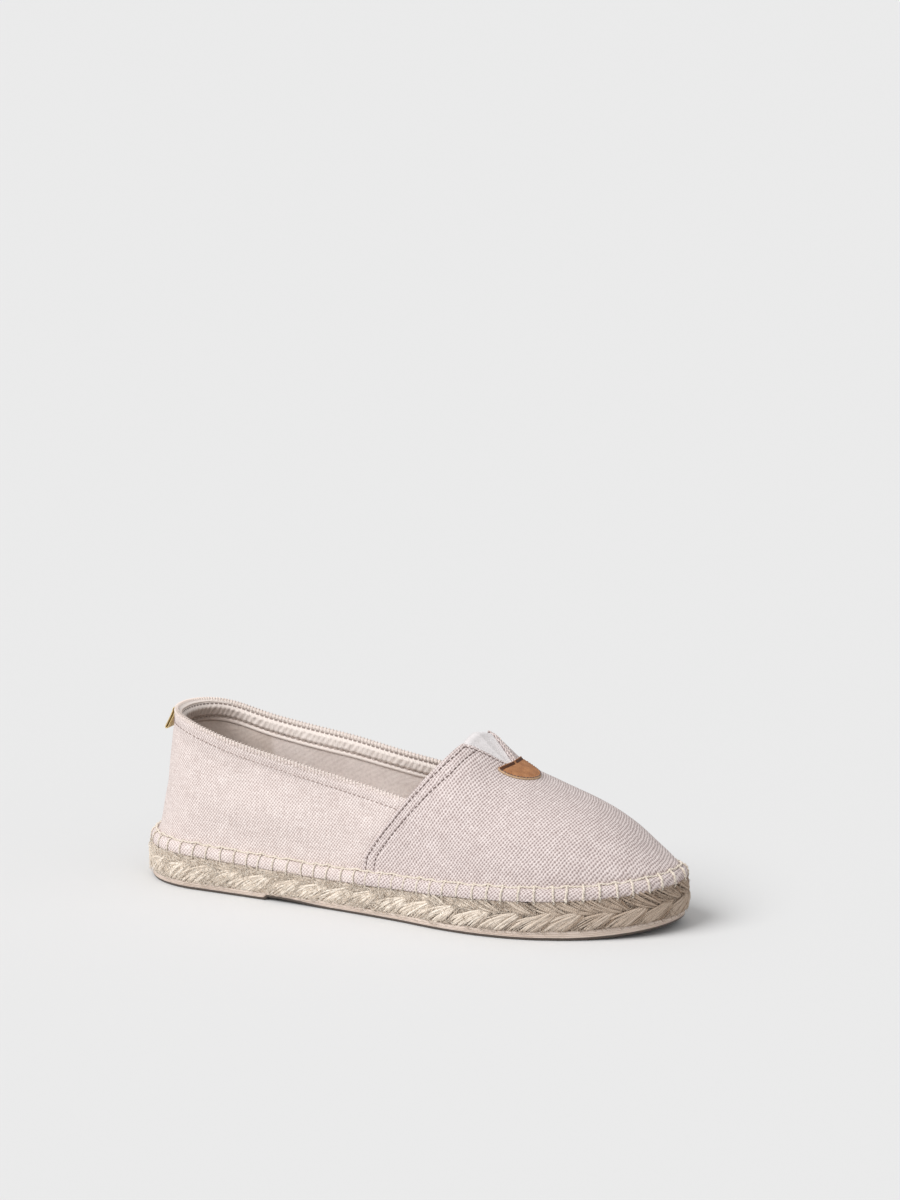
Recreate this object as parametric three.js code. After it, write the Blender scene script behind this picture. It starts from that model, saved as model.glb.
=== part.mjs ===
// A flat canvas espadrille for the right foot, in millimetres: +X runs to the toe, +Y to the inner
// side of the foot and +Z up. A jute sole stands in a shallow rubber tray. The canvas upper is turned
// outwards over the sole's top edge as a hem, and is closed at the instep by an elastic gore with a
// half-round leather patch below it. Lengths are measured from the back of the heel.
import * as THREE from "three";
import { mergeVertices } from "three/addons/utils/BufferGeometryUtils.js";

// ---- Driving sizes -------------------------------------------------------------------------------

const LENGTH = 257.5; // the sole, heel to toe
const HEEL_ROUND = 34; // length over which the outline rounds off at the heel
const TOE_ROUND = 60; // the same at the toe
const ROUND_POWER = 2.1; // 2 is an ellipse
const TOE_SWING = 8; // how far the tip lies to the inner side of the foot's straight line
const SWING_FROM = 155; // where that curve begins
const GAP = 0.3; // between pieces that touch
const STATION = Math.PI / 44; // widest step between the sections round the sole

// One row for each section of the last. outer and inner are the sole's half-widths, seam is the height
// of the stitched seam that holds the upper to the sole, and rise is how far the last's top line stands
// above that seam. The leans are how far a side wall has moved in where it meets the collar. Behind the
// throat the top line is open air, and the collar cuts the wall below it.
const SECTIONS = [
  { at: 0, outer: 30.5, inner: 31.0, seam: 22.4, rise: 92, outerLean: 9.0, innerLean: 9.0 },
  { at: 22, outer: 30.6, inner: 31.0, seam: 21.9, rise: 92, outerLean: 6.0, innerLean: 5.5 },
  { at: 50, outer: 31.6, inner: 28.6, seam: 21.1, rise: 92, outerLean: 3.0, innerLean: 1.5 },
  { at: 81, outer: 33.2, inner: 26.0, seam: 20.3, rise: 90, outerLean: 1.8, innerLean: -1.5 },
  { at: 106, outer: 34.6, inner: 26.4, seam: 19.9, rise: 86, outerLean: 1.4, innerLean: -2.0 },
  { at: 139, outer: 38.6, inner: 33.0, seam: 20.9, rise: 74.5, outerLean: 1.2, innerLean: 0.0 },
  { at: 161, outer: 42.6, inner: 38.6, seam: 21.9, rise: 60.2, outerLean: 1.0, innerLean: 1.0 },
  { at: 178, outer: 44.2, inner: 40.6, seam: 22.7, rise: 45, outerLean: 1.0, innerLean: 1.0 },
  { at: 194, outer: 43.8, inner: 40.4, seam: 23.2, rise: 37.6, outerLean: 1.0, innerLean: 1.0 },
  { at: 217, outer: 40.6, inner: 37.0, seam: 23.9, rise: 28.4, outerLean: 1.0, innerLean: 1.0 },
  { at: 231, outer: 38.8, inner: 34.0, seam: 24.7, rise: 20.2, outerLean: 1.0, innerLean: 1.0 },
  { at: 242, outer: 38.0, inner: 32.0, seam: 25.7, rise: 10.6, outerLean: 1.0, innerLean: 1.0 },
  { at: 254, outer: 37.8, inner: 30.4, seam: 27.4, rise: 0, outerLean: 1.0, innerLean: 1.0 },
];
const WALL_FULL = 2.2; // fullness of a section over the foot: 2 is an ellipse
const LEAN_POWER = 0.75; // a side wall leans in most near the seam
const DOME_FROM = 85; // the walls stand straight behind here
const DOME_TO = 136; // and arch over the foot in front of here
const HEEL_CENTRE = 41; // the point that the heel's walls face
const HEEL_FAN = 61; // and the end of the stretch where they do

// The top edge of the cloth, in heights above the floor: the collar, and then the vamp's raked edge up
// to the corner where the V begins.
const COLLAR = [
  { at: 0, outer: 79.5, inner: 79.5 },
  { at: 19, outer: 77.5, inner: 77.7 },
  { at: 51, outer: 70.4, inner: 71.4 },
  { at: 91, outer: 63.4, inner: 65.8 },
  { at: 121, outer: 58.3, inner: 60.9 },
  { at: 141.5, outer: 54.8, inner: 57.0 },
];
const VAMP_CORNER = { at: 161, height: 78.8, half: 14.5 };
const NOTCH_END = 181; // the point of the V

// Canvas upper. Each row of the hem is a point of its outside, below the seam.
const CANVAS = 1.5;
const SEAM_INSET = 3.6; // the seam lies this far in from the sole's outline
const HEM = [
  { inset: 0.0, drop: 5.8 },
  { inset: 0.1, drop: 3.2 },
  { inset: 1.3, drop: 1.0 },
];
const WALL_ROWS = 10;

// Elastic gore, sewn under the canvas on both sides of the V
const GORE = 1.0;
const GORE_UNDER = 0.6; // below the canvas
const GORE_TUCK = 3.5; // how far it reaches under the canvas
const GORE_FROM = 161.6;
const GORE_END = 187;

// Leather patch over the point of the V
const PATCH = 1.1;
const PATCH_FROM = 177.4;
const PATCH_LENGTH = 14.5;
const PATCH_HALF = 12.3;

// Ribbon tab, sewn to the outside of the collar at the back
const TAB = 1.0;
const TAB_WIDTH = 10;
const TAB_SEWN = 2.5; // this much lies flat against the canvas
const TAB_REACH = 4.6; // and the rest stands off to the back
const TAB_DROP = 11; // as it hangs down

// Rubber outsole, jute sole and insole
const TRAY_FLOOR = 2.2;
const TRAY_WALL = 1.5;
const RIM = [
  { at: 0, height: 3.7 },
  { at: 91, height: 3.6 },
  { at: 190, height: 3.8 },
  { at: 228, height: 4.6 },
  { at: 257, height: 6.6 },
];
const JUTE_SIDE = 0.7; // how far in from the outline the braid lies along the sides
const JUTE_END = -0.6; // it stands proud at heel and toe
const INSOLE = 2.4;
const INSOLE_BED = 2.4; // the jute's top lies this far below the seam
const HEEL_PAD_END = 70; // the heel's rest ends in a low step
const ARCH_END = 106;
const ARCH_RISE = 1.5;
const SPRING_FROM = 216;
const TOE_SPRING = 3.6;

// ---- Curves --------------------------------------------------------------------------------------

const clamp = THREE.MathUtils.clamp;
const smoothstep = THREE.MathUtils.smoothstep;

// A smooth curve through one column of a table: cubic pieces whose slope at each row is the slope
// between its two neighbours.
function column(rows, name) {
  const x = rows.map((row) => row.at);
  const y = rows.map((row) => row[name]);
  const last = rows.length - 1;
  const slope = y.map((_, i) => {
    const before = Math.max(i - 1, 0);
    const after = Math.min(i + 1, last);
    return (y[after] - y[before]) / (x[after] - x[before]);
  });
  return (at) => {
    const v = clamp(at, x[0], x[last]);
    const i = Math.max(x.findLastIndex((start, k) => k < last && start <= v), 0);
    const h = x[i + 1] - x[i];
    const t = (v - x[i]) / h;
    const values = y[i] * (1 + 2 * t) * (1 - t) ** 2 + y[i + 1] * t * t * (3 - 2 * t);
    const slopes = slope[i] * t * (1 - t) ** 2 - slope[i + 1] * t * t * (1 - t);
    return values + h * slopes;
  };
}

const outerHalf = column(SECTIONS, "outer");
const innerHalf = column(SECTIONS, "inner");
const seamHeight = column(SECTIONS, "seam");
const lastRise = column(SECTIONS, "rise");
const outerLean = column(SECTIONS, "outerLean");
const innerLean = column(SECTIONS, "innerLean");
const outerCollar = column(COLLAR, "outer");
const innerCollar = column(COLLAR, "inner");
const rimHeight = column(RIM, "height");

const footLine = (x) => TOE_SWING * clamp((x - SWING_FROM) / (LENGTH - SWING_FROM), 0, 1) ** 2;
const toeSpring = (x) => TOE_SPRING * clamp((x - SPRING_FROM) / (LENGTH - SPRING_FROM), 0, 1) ** 2;

// The share of the full width that is left at x, near the heel and the toe.
function roundedEnds(x) {
  const round = (distance, size) => (1 - clamp(1 - distance / size, 0, 1) ** ROUND_POWER) ** (1 / ROUND_POWER);
  return round(x, HEEL_ROUND) * round(LENGTH - x, TOE_ROUND);
}

// The sole's outline. turn is 0 at the heel and half a turn at the tip, negative along the outer side
// and positive along the inner one.
function outline(turn) {
  const x = (LENGTH / 2) * (1 - Math.cos(turn));
  const half = Math.sin(turn) < 0 ? -outerHalf(x) : innerHalf(x);
  return new THREE.Vector2(x, footLine(x) + half * roundedEnds(x));
}

// A point moved in from the outline, square to it.
function inset(turn, distance) {
  const step = 0.02;
  const along = outline(turn + step).sub(outline(turn - step)).normalize();
  return outline(turn).add(new THREE.Vector2(along.y, -along.x).multiplyScalar(distance));
}

// The turn at which the outline, or the seam inside it, reaches x on the outer side (sign -1) or the
// inner one.
function turnAt(x, distance = 0, sign = -1) {
  let place = x;
  let turn = 0;
  for (let i = 0; i < 8; i += 1) {
    turn = Math.acos(clamp(1 - (2 * place) / LENGTH, -1, 1));
    place += x - inset(sign * turn, distance).x;
  }
  return turn;
}

// Turns from heel to tip: evenly spaced between the places where an edge or a face turns.
function stations() {
  const throat = COLLAR.at(-1).at;
  const onSeam = [throat, VAMP_CORNER.at, NOTCH_END].map((x) => turnAt(x, SEAM_INSET));
  const onSole = [HEEL_PAD_END, HEEL_PAD_END + 2, ARCH_END, SPRING_FROM].map((x) => turnAt(x));
  const places = [0, ...onSeam, ...onSole, Math.PI].sort((a, b) => a - b);
  const turns = [0];
  for (let i = 1; i < places.length; i += 1) {
    const count = Math.ceil((places[i] - places[i - 1]) / STATION);
    for (let k = 1; k <= count; k += 1) turns.push(places[i - 1] + ((places[i] - places[i - 1]) * k) / count);
  }
  return turns;
}

const TURNS = stations();

// ---- The last ------------------------------------------------------------------------------------

const seamAt = (turn) => seamHeight(inset(turn, SEAM_INSET).x);

// A wall of the last: its foot on the seam, the point on the foot line that it faces, and its sizes.
function wallAt(turn) {
  const foot = inset(turn, SEAM_INSET);
  const x = foot.x;
  const fan = HEEL_CENTRE + (HEEL_FAN - HEEL_CENTRE) * (Math.max(x, 0) / HEEL_FAN) ** 3;
  const faces = x < HEEL_FAN ? fan : x;
  const outer = Math.sin(turn) < 0;
  return {
    foot,
    top: new THREE.Vector2(faces, footLine(x)),
    seam: seamHeight(x),
    rise: lastRise(x),
    lean: outer ? outerLean(x) : innerLean(x),
    collar: outer ? outerCollar(x) : innerCollar(x),
    dome: smoothstep(x, DOME_FROM, DOME_TO),
  };
}

// A point on a wall, at an angle round its section: 0 is the seam and a quarter turn the top line.
function onWall({ foot, top, seam, rise, lean, collar, dome }, angle) {
  const width = Math.max(top.distanceTo(foot), 1e-6);
  const height = rise * Math.sin(angle);
  const straight = (lean * (height / (collar - seam)) ** LEAN_POWER) / width;
  const arched = 1 - Math.max(Math.cos(angle), 0) ** (2 / WALL_FULL);
  const share = (1 - dome) * straight + dome * arched;
  return new THREE.Vector3().copy(foot.clone().lerp(top, share)).setZ(seam + height);
}

// The angle at which the cloth of a wall ends: at the collar, the vamp's raked edge or the V, and in
// front of them at the top line.
function edgeAngle({ foot, top, seam, rise, collar }) {
  const throat = COLLAR.at(-1).at;
  if (foot.x >= NOTCH_END) return Math.PI / 2;
  if (foot.x >= VAMP_CORNER.at) {
    const half = (VAMP_CORNER.half * (NOTCH_END - foot.x)) / (NOTCH_END - VAMP_CORNER.at);
    return Math.acos((half / top.distanceTo(foot)) ** (WALL_FULL / 2));
  }
  const alongRake = clamp((foot.x - throat) / (VAMP_CORNER.at - throat), 0, 1);
  const height = collar + (VAMP_CORNER.height - collar) * alongRake;
  return Math.asin(clamp((height - seam) / rise, 0, 1));
}

// A point of the vamp's surface above (x, y).
function onVamp(x, y) {
  const side = y < footLine(x) ? -1 : 1;
  const wall = wallAt(side * turnAt(x, SEAM_INSET, side));
  const share = clamp(Math.abs(y - footLine(x)) / wall.top.distanceTo(wall.foot), 0, 1);
  return new THREE.Vector3(x, y, wall.seam + wall.rise * Math.sin(Math.acos(share ** (WALL_FULL / 2))));
}

// ---- Meshes --------------------------------------------------------------------------------------

// Triangles between neighbouring rows of points, each four-cornered patch split at its shorter
// diagonal.
function strip(rows) {
  const triangles = [];
  for (let i = 0; i + 1 < rows.length; i += 1) {
    for (let j = 0; j + 1 < rows[i].length; j += 1) {
      const [a, b, c, d] = [rows[i][j], rows[i + 1][j], rows[i + 1][j + 1], rows[i][j + 1]];
      const halves = a.distanceTo(c) < b.distanceTo(d) ? [[a, b, c], [a, c, d]] : [[a, b, d], [b, c, d]];
      triangles.push(...halves);
    }
  }
  return triangles;
}

const flipped = (triangles) => triangles.map(([a, b, c]) => [a, c, b]);

// One indexed geometry from a list of triangles, with equal corners joined and flat ones dropped.
function joined(triangles) {
  const corners = triangles.flatMap((triangle) => triangle.flatMap((p) => p.toArray()));
  const geometry = new THREE.BufferGeometry();
  geometry.setAttribute("position", new THREE.Float32BufferAttribute(corners, 3));
  const merged = mergeVertices(geometry, 1e-3);
  const index = [];
  for (let i = 0; i < merged.index.count; i += 3) {
    const [a, b, c] = [0, 1, 2].map((k) => merged.index.getX(i + k));
    if (a !== b && b !== c && c !== a) index.push(a, b, c);
  }
  merged.setIndex(index);
  return merged;
}

// A closed solid from an open sheet: the sheet moved square to itself by front, the same moved by
// back, and a wall along each open edge.
function thickened(triangles, front, back) {
  const sheet = joined(triangles);
  sheet.computeVertexNormals();
  const { position, normal } = sheet.attributes;
  const point = (attribute, i) => new THREE.Vector3().fromBufferAttribute(attribute, i);
  const vertices = Array.from({ length: position.count }, (_, i) => i);
  const moved = (distance) => vertices.map((i) => point(position, i).addScaledVector(point(normal, i), distance));
  const outside = moved(front);
  const inside = moved(back);
  const faces = [];
  const edges = new Set();
  for (let i = 0; i < sheet.index.count; i += 3) {
    const [a, b, c] = [0, 1, 2].map((k) => sheet.index.getX(i + k));
    faces.push([outside[a], outside[b], outside[c]], [inside[a], inside[c], inside[b]]);
    edges.add(`${a} ${b}`).add(`${b} ${c}`).add(`${c} ${a}`);
  }
  for (const edge of edges) {
    const [a, b] = edge.split(" ").map(Number);
    if (!edges.has(`${b} ${a}`)) {
      faces.push([outside[a], inside[a], inside[b]], [outside[a], inside[b], outside[b]]);
    }
  }
  return joined(faces);
}

// A closed solid from a profile carried round the sole. profile(turn) gives its points from the edge of
// the underside, up the outside, to the edge of the top; both faces are closed straight across.
function carried(profile) {
  const [outer, inner] = [-1, 1].map((sign) => TURNS.map((turn) => profile(sign * turn)));
  const across = (end) => strip(TURNS.map((_, i) => [outer[i].at(end), inner[i].at(end)]));
  return joined([...strip(outer), ...flipped(strip(inner)), ...flipped(across(0)), ...across(-1)]);
}

function pointAt(turn, distance, height) {
  const { x, y } = inset(turn, distance);
  return new THREE.Vector3(x, y, height);
}

// ---- Pieces --------------------------------------------------------------------------------------

// The tray is flat under heel and forefoot, a little raised under the arch and sprung at the toe. Its
// rim climbs the sides of the jute.
function rubberOutsole() {
  return carried((turn) => {
    const { x } = outline(turn);
    const inArch = x > HEEL_PAD_END + 1 && x < ARCH_END;
    const arch = inArch ? ARCH_RISE * (1 - smoothstep(x, HEEL_PAD_END, ARCH_END)) : 0;
    const ground = arch + toeSpring(x);
    return [
      pointAt(turn, 2.4, ground),
      pointAt(turn, 1.1, ground + 0.5),
      pointAt(turn, 0.5, ground + 1.6),
      pointAt(turn, 0.6, rimHeight(x)),
      pointAt(turn, 0.6 + TRAY_WALL, rimHeight(x)),
      pointAt(turn, 1.0 + TRAY_WALL, TRAY_FLOOR + toeSpring(x)),
    ];
  });
}

// The braided jute sole as one body: it stands in the tray, bulges over its rim and is drawn in under
// the hem.
function juteSole() {
  return carried((turn) => {
    const { x } = outline(turn);
    const seam = seamAt(turn);
    const hem = seam - HEM[0].drop - GAP;
    const rim = rimHeight(x) + GAP;
    const side = JUTE_END + (JUTE_SIDE - JUTE_END) * Math.sin(turn) ** 2;
    return [
      pointAt(turn, 1.0 + TRAY_WALL + GAP, TRAY_FLOOR + toeSpring(x) + GAP),
      pointAt(turn, 0.6 + TRAY_WALL + GAP, rim),
      pointAt(turn, side + 0.5, rim + 0.2),
      pointAt(turn, side, rim + 0.35 * (hem - rim)),
      pointAt(turn, side + 0.3, rim + 0.75 * (hem - rim)),
      pointAt(turn, side + 0.9, hem),
      pointAt(turn, CANVAS + 2 * GAP, hem),
      pointAt(turn, CANVAS + 3 * GAP, seam - 3.6),
      pointAt(turn, SEAM_INSET + CANVAS, seam - INSOLE_BED),
    ];
  });
}

// The insole lies on the jute inside the walls.
function insole() {
  const edge = SEAM_INSET + CANVAS + 3 * GAP;
  return carried((turn) => {
    const bottom = seamAt(turn) - INSOLE_BED + GAP;
    return [
      pointAt(turn, edge, bottom),
      pointAt(turn, edge, bottom + 0.7 * INSOLE),
      pointAt(turn, edge + 0.8, bottom + INSOLE),
    ];
  });
}

// The canvas upper: hem, quarters and vamp in one wall, open at the collar, the V and underneath.
function upper() {
  const side = (sign) =>
    TURNS.map((turn) => {
      const wall = wallAt(sign * turn);
      const edge = edgeAngle(wall);
      const hem = HEM.map((row) => pointAt(sign * turn, row.inset, wall.seam - row.drop));
      const rows = Array.from({ length: WALL_ROWS + 1 }, (_, j) => onWall(wall, (edge * j) / WALL_ROWS));
      return [...hem, ...rows];
    });
  return thickened([...strip(side(-1)), ...flipped(strip(side(1)))], 0, -CANVAS);
}

// The gore fills the V from below. It is as wide as the V and its two tucks.
function elasticGore() {
  const [rowCount, columnCount] = [8, 10];
  const rows = Array.from({ length: rowCount + 1 }, (_, i) => {
    const x = GORE_FROM + ((GORE_END - GORE_FROM) * i) / rowCount;
    const open = clamp((NOTCH_END - x) / (NOTCH_END - VAMP_CORNER.at), 0, 1);
    const half = VAMP_CORNER.half * open + GORE_TUCK;
    return Array.from({ length: columnCount + 1 }, (_, j) => onVamp(x, half * ((2 * j) / columnCount - 1)));
  });
  const under = CANVAS + GORE_UNDER;
  return thickened(strip(rows), -under, -under - GORE);
}

// A half-round of leather on the vamp, its straight edge to the heel.
function leatherPatch() {
  const [rowCount, columnCount] = [6, 12];
  const rows = Array.from({ length: rowCount + 1 }, (_, i) => {
    const share = i / rowCount;
    return Array.from({ length: columnCount + 1 }, (_, j) => {
      const angle = (Math.PI * j) / columnCount;
      const x = PATCH_FROM + PATCH_LENGTH * share * Math.sin(angle);
      return onVamp(x, footLine(PATCH_FROM) - PATCH_HALF * Math.cos(angle) * share);
    });
  });
  return thickened(strip(rows), GAP + PATCH, GAP);
}

// The ribbon tab: a strip that hangs from the back of the collar, its free end standing off.
function heelTab() {
  const back = onWall(wallAt(0), edgeAngle(wallAt(0)));
  const front = back.x - GAP;
  const top = back.z - 0.4;
  const end = top - TAB_DROP;
  const shape = new THREE.Shape();
  shape.moveTo(front, top);
  shape.lineTo(front - TAB, top);
  shape.quadraticCurveTo(front - TAB - 1.2, top - TAB_SEWN - 2, front - TAB_REACH - TAB, end + 0.5);
  shape.lineTo(front - TAB_REACH, end);
  shape.quadraticCurveTo(front - 1.2, top - TAB_SEWN - 2.5, front - 0.2, top - TAB_SEWN);
  const ribbon = new THREE.ExtrudeGeometry(shape, { depth: TAB_WIDTH, bevelEnabled: false, curveSegments: 6 });
  ribbon.translate(0, 0, -TAB_WIDTH / 2);
  ribbon.rotateX(Math.PI / 2);
  ribbon.deleteAttribute("normal");
  ribbon.deleteAttribute("uv");
  return mergeVertices(ribbon, 1e-3);
}

const shoe = new THREE.Group();

function add(name, geometry, color, roughness) {
  const mesh = new THREE.Mesh(geometry, new THREE.MeshStandardMaterial({ color, roughness, metalness: 0 }));
  mesh.name = name;
  shoe.add(mesh);
}

add("rubber_outsole", rubberOutsole(), 0xd9c8b8, 0.6);
add("jute_sole", juteSole(), 0xc8b596, 0.95);
add("insole", insole(), 0xd8cbbf, 0.9);
add("upper", upper(), 0xded2ca, 0.9);
add("elastic_gore", elasticGore(), 0xd9d6d4, 0.7);
add("leather_patch", leatherPatch(), 0xb98a5e, 0.65);
add("heel_tab", heelTab(), 0xc9a860, 0.6);

// The origin is the middle of the sole's footprint, on the floor.
const box = new THREE.Box3().setFromObject(shoe);
shoe.position.set(-(box.min.x + box.max.x) / 2, -(box.min.y + box.max.y) / 2, -box.min.z);

export default shoe;
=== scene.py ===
import bmesh
import bpy
import numpy as np
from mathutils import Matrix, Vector


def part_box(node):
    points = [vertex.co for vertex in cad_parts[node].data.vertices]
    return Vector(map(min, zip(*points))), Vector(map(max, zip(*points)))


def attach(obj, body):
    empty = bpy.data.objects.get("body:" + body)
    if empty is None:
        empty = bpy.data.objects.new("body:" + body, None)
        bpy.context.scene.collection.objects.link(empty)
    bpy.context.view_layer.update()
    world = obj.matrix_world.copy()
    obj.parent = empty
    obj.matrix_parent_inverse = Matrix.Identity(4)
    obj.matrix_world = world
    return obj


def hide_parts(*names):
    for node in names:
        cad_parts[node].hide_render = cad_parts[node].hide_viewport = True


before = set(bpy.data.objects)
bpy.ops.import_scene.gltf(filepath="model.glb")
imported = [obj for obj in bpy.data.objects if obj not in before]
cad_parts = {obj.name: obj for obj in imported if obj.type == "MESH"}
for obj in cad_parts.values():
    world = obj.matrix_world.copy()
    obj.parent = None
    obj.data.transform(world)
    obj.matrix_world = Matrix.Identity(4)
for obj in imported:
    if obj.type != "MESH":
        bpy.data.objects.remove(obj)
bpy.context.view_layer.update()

# ---- Rubber outsole ------------------------------------------------------------------------------
# A shallow tray moulded in cream rubber and glued under the braid: a heel rest, a low arch and a flat
# forefoot that lifts at the toe. Its rim climbs the side of the braid, with fine mould lines round it.

LENGTH = 257.5
HEEL_ROUND = 34  # lengths over which the outline rounds off
TOE_ROUND = 60
ROUND_POWER = 2.1
TOE_SWING = 8  # how far the tip lies to the inner side
SWING_FROM = 155
TOE_SPRING = 3.6
SPRING_FROM = 216
PLACES = [0, 22, 50, 81, 106, 139, 161, 178, 194, 217, 231, 242, 254]
OUTER_HALF = [30.5, 30.6, 31.6, 33.2, 34.6, 38.6, 42.6, 44.2, 43.8, 40.6, 38.8, 38.0, 37.8]
INNER_HALF = [31.0, 31.0, 28.6, 26.0, 26.4, 33.0, 38.6, 40.6, 40.4, 37.0, 34.0, 32.0, 30.4]
ORIGIN = np.array([
    1000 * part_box("upper")[0].x,
    500 * (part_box("heel_tab")[0].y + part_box("heel_tab")[1].y),
    0.0,
])


def through(places, values):
    """A smooth curve through points: cubic pieces whose slope at each point is the slope between its
    two neighbours, held level past the ends."""
    x, y = np.array(places, float), np.array(values, float)
    before = np.maximum(np.arange(len(x)) - 1, 0)
    after = np.minimum(np.arange(len(x)) + 1, len(x) - 1)
    slope = (y[after] - y[before]) / (x[after] - x[before])

    def at(place):
        v = np.clip(place, x[0], x[-1])
        i = np.clip(np.searchsorted(x, v, side="right") - 1, 0, len(x) - 2)
        h = x[i + 1] - x[i]
        t = (v - x[i]) / h
        levels = y[i] * (1 + 2 * t) * (1 - t) ** 2 + y[i + 1] * t * t * (3 - 2 * t)
        return levels + h * (slope[i] * t * (1 - t) ** 2 - slope[i + 1] * t * t * (1 - t))

    return at


def smooth(value, low, high):
    """0 below low and 1 above high, with a smooth rise between."""
    t = np.clip((value - low) / (high - low), 0, 1)
    return t * t * (3 - 2 * t)


def hump(value, centre, width):
    """A bell of height 1 round a centre, that has fallen to a third at one width."""
    return np.exp(-(((value - centre) / width) ** 2))


def unit(vectors):
    """The same directions, each one long."""
    return vectors / np.maximum(np.linalg.norm(vectors, axis=-1, keepdims=True), 1e-9)


def lengths(points, axis):
    """Distances along one way of a grid, from its first row."""
    step = np.diff(points, axis=axis, prepend=np.take(points, [0], axis))
    return np.cumsum(np.linalg.norm(step, axis=-1), axis)


def blocks(x, *parts):
    """Blocks of columns side by side, each with a row for every x."""
    return np.concatenate([part + 0 * x for part in parts], 1)


outer_half = through(PLACES, OUTER_HALF)
inner_half = through(PLACES, INNER_HALF)
rim_height = through([0, 91, 190, 228, 257], [3.8, 3.7, 4.0, 5.2, 7.3])


def foot_line(x):
    return TOE_SWING * np.clip((x - SWING_FROM) / (LENGTH - SWING_FROM), 0, 1) ** 2


def toe_spring(x):
    return TOE_SPRING * np.clip((x - SPRING_FROM) / (LENGTH - SPRING_FROM), 0, 1) ** 2


def outline(turn):
    """The sole's outline. turn is 0 at the heel and half a turn at the tip, negative on the outer
    side; the length goes with its cosine and each half width is cut down by the rounded ends."""
    x = LENGTH / 2 * (1 - np.cos(turn))
    half = np.where(np.sin(turn) < 0, -outer_half(x), inner_half(x))
    for distance, size in ((x, HEEL_ROUND), (LENGTH - x, TOE_ROUND)):
        half = half * (1 - np.clip(1 - distance / size, 0, 1) ** ROUND_POWER) ** (1 / ROUND_POWER)
    return np.stack([x, foot_line(x) + half], -1)


def inset(turn, distance):
    """Points moved in from the outline by a distance, square to it."""
    along = unit(outline(turn + 0.02) - outline(turn - 0.02))
    inwards = np.stack([along[..., 1], -along[..., 0]], -1)
    return outline(turn) + np.asarray(distance, float)[..., None] * inwards


def at_height(turn, distance, height):
    """Points in from the outline by a distance, at a height."""
    spot = inset(turn, distance)
    return np.concatenate([spot, np.broadcast_to(height, spot.shape[:-1])[..., None]], -1)


def even_turns(spacing, distance, start=-np.pi, end=np.pi):
    """Turns that lie evenly spaced along the outline moved in by a distance, and their places along
    it in millimetres."""
    fine = np.linspace(start, end, 6001)
    steps = np.linalg.norm(np.diff(inset(fine, distance), axis=0), axis=-1)
    length = np.concatenate([[0], np.cumsum(steps)])
    places = np.linspace(0, length[-1], int(round(length[-1] / spacing)) + 1)
    return np.interp(places, length, fine), places


def grid(rows, columns, round_rows=False, round_columns=False):
    """Four-cornered faces between the neighbours of a grid of points, closed on itself where asked."""
    number = np.arange(rows * columns).reshape(rows, columns)
    number = np.pad(number, ((0, int(round_rows)), (0, int(round_columns))), mode="wrap")
    corners = [number[:-1, :-1], number[1:, :-1], number[1:, 1:], number[:-1, 1:]]
    return np.stack(corners, -1).reshape(-1, 4)


def make(name, points, faces, finish, stands_for=(), uv=None, weld=0.0, outward=False):
    """A mesh piece from points, in a list or a grid, and arrays of corner numbers, one row a face.
    weld joins points that lie closer than that, and outward turns a closed shape's faces out."""
    mesh, points = bpy.data.meshes.new(name), points.reshape(-1, 3)
    corners = np.concatenate([block.ravel() for block in faces])
    sizes = np.concatenate([np.full(len(block), block.shape[1]) for block in faces])
    mesh.vertices.add(len(points))
    mesh.vertices.foreach_set("co", ((points + ORIGIN) * 0.001).ravel())
    mesh.loops.add(len(corners))
    mesh.loops.foreach_set("vertex_index", corners.astype(np.int32))
    mesh.polygons.add(len(sizes))
    mesh.polygons.foreach_set("loop_start", (np.cumsum(sizes) - sizes).astype(np.int32))
    mesh.polygons.foreach_set("use_smooth", np.ones(len(sizes), bool))
    if uv is not None:
        layer = mesh.uv_layers.new(name="UVMap")
        layer.data.foreach_set("uv", uv.reshape(-1, 2)[corners].astype(np.float32).ravel())
    mesh.update(calc_edges=True)
    if weld or outward:
        work = bmesh.new()
        work.from_mesh(mesh)
        if weld:
            bmesh.ops.remove_doubles(work, verts=work.verts, dist=weld * 0.001)
            bmesh.ops.dissolve_degenerate(work, edges=work.edges, dist=1e-7)
        if outward:
            bmesh.ops.recalc_face_normals(work, faces=work.faces)
        work.to_mesh(mesh)
        work.free()
    mesh.materials.append(finish.material)
    piece = bpy.data.objects.new(name, mesh)
    bpy.context.scene.collection.objects.link(piece)
    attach(piece, "root")
    if stands_for:
        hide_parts(*stands_for)
    return piece


class Reading:
    """A shader socket that plain Python operators work on: each adds one Math node."""

    def __init__(self, finish, socket):
        self.finish, self.socket = finish, socket

    def maths(self, operation, *others):
        """A Math node with this socket as its first value."""
        return self.finish.maths(operation, self, *others)

    def __add__(self, other):
        return self.maths("ADD", other)

    def __sub__(self, other):
        return self.maths("SUBTRACT", other)

    def __rsub__(self, other):
        return self.finish.maths("SUBTRACT", other, self)

    def __mul__(self, other):
        return self.maths("MULTIPLY", other)

    __radd__ = __add__
    __rmul__ = __mul__

    def wave(self):
        """A rounded ridge on every whole number: the size of the sine of half a turn a step."""
        return (self * np.pi).maths("SINE").maths("ABSOLUTE")

    def rise(self, low, high, start=0.0, end=1.0):
        """start below low and end above high, with a smooth change between."""
        return self.finish.node(
            "ShaderNodeMapRange", {"interpolation_type": "SMOOTHSTEP"},
            {"Value": self, "From Min": low, "From Max": high, "To Min": start, "To Max": end},
        )


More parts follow.
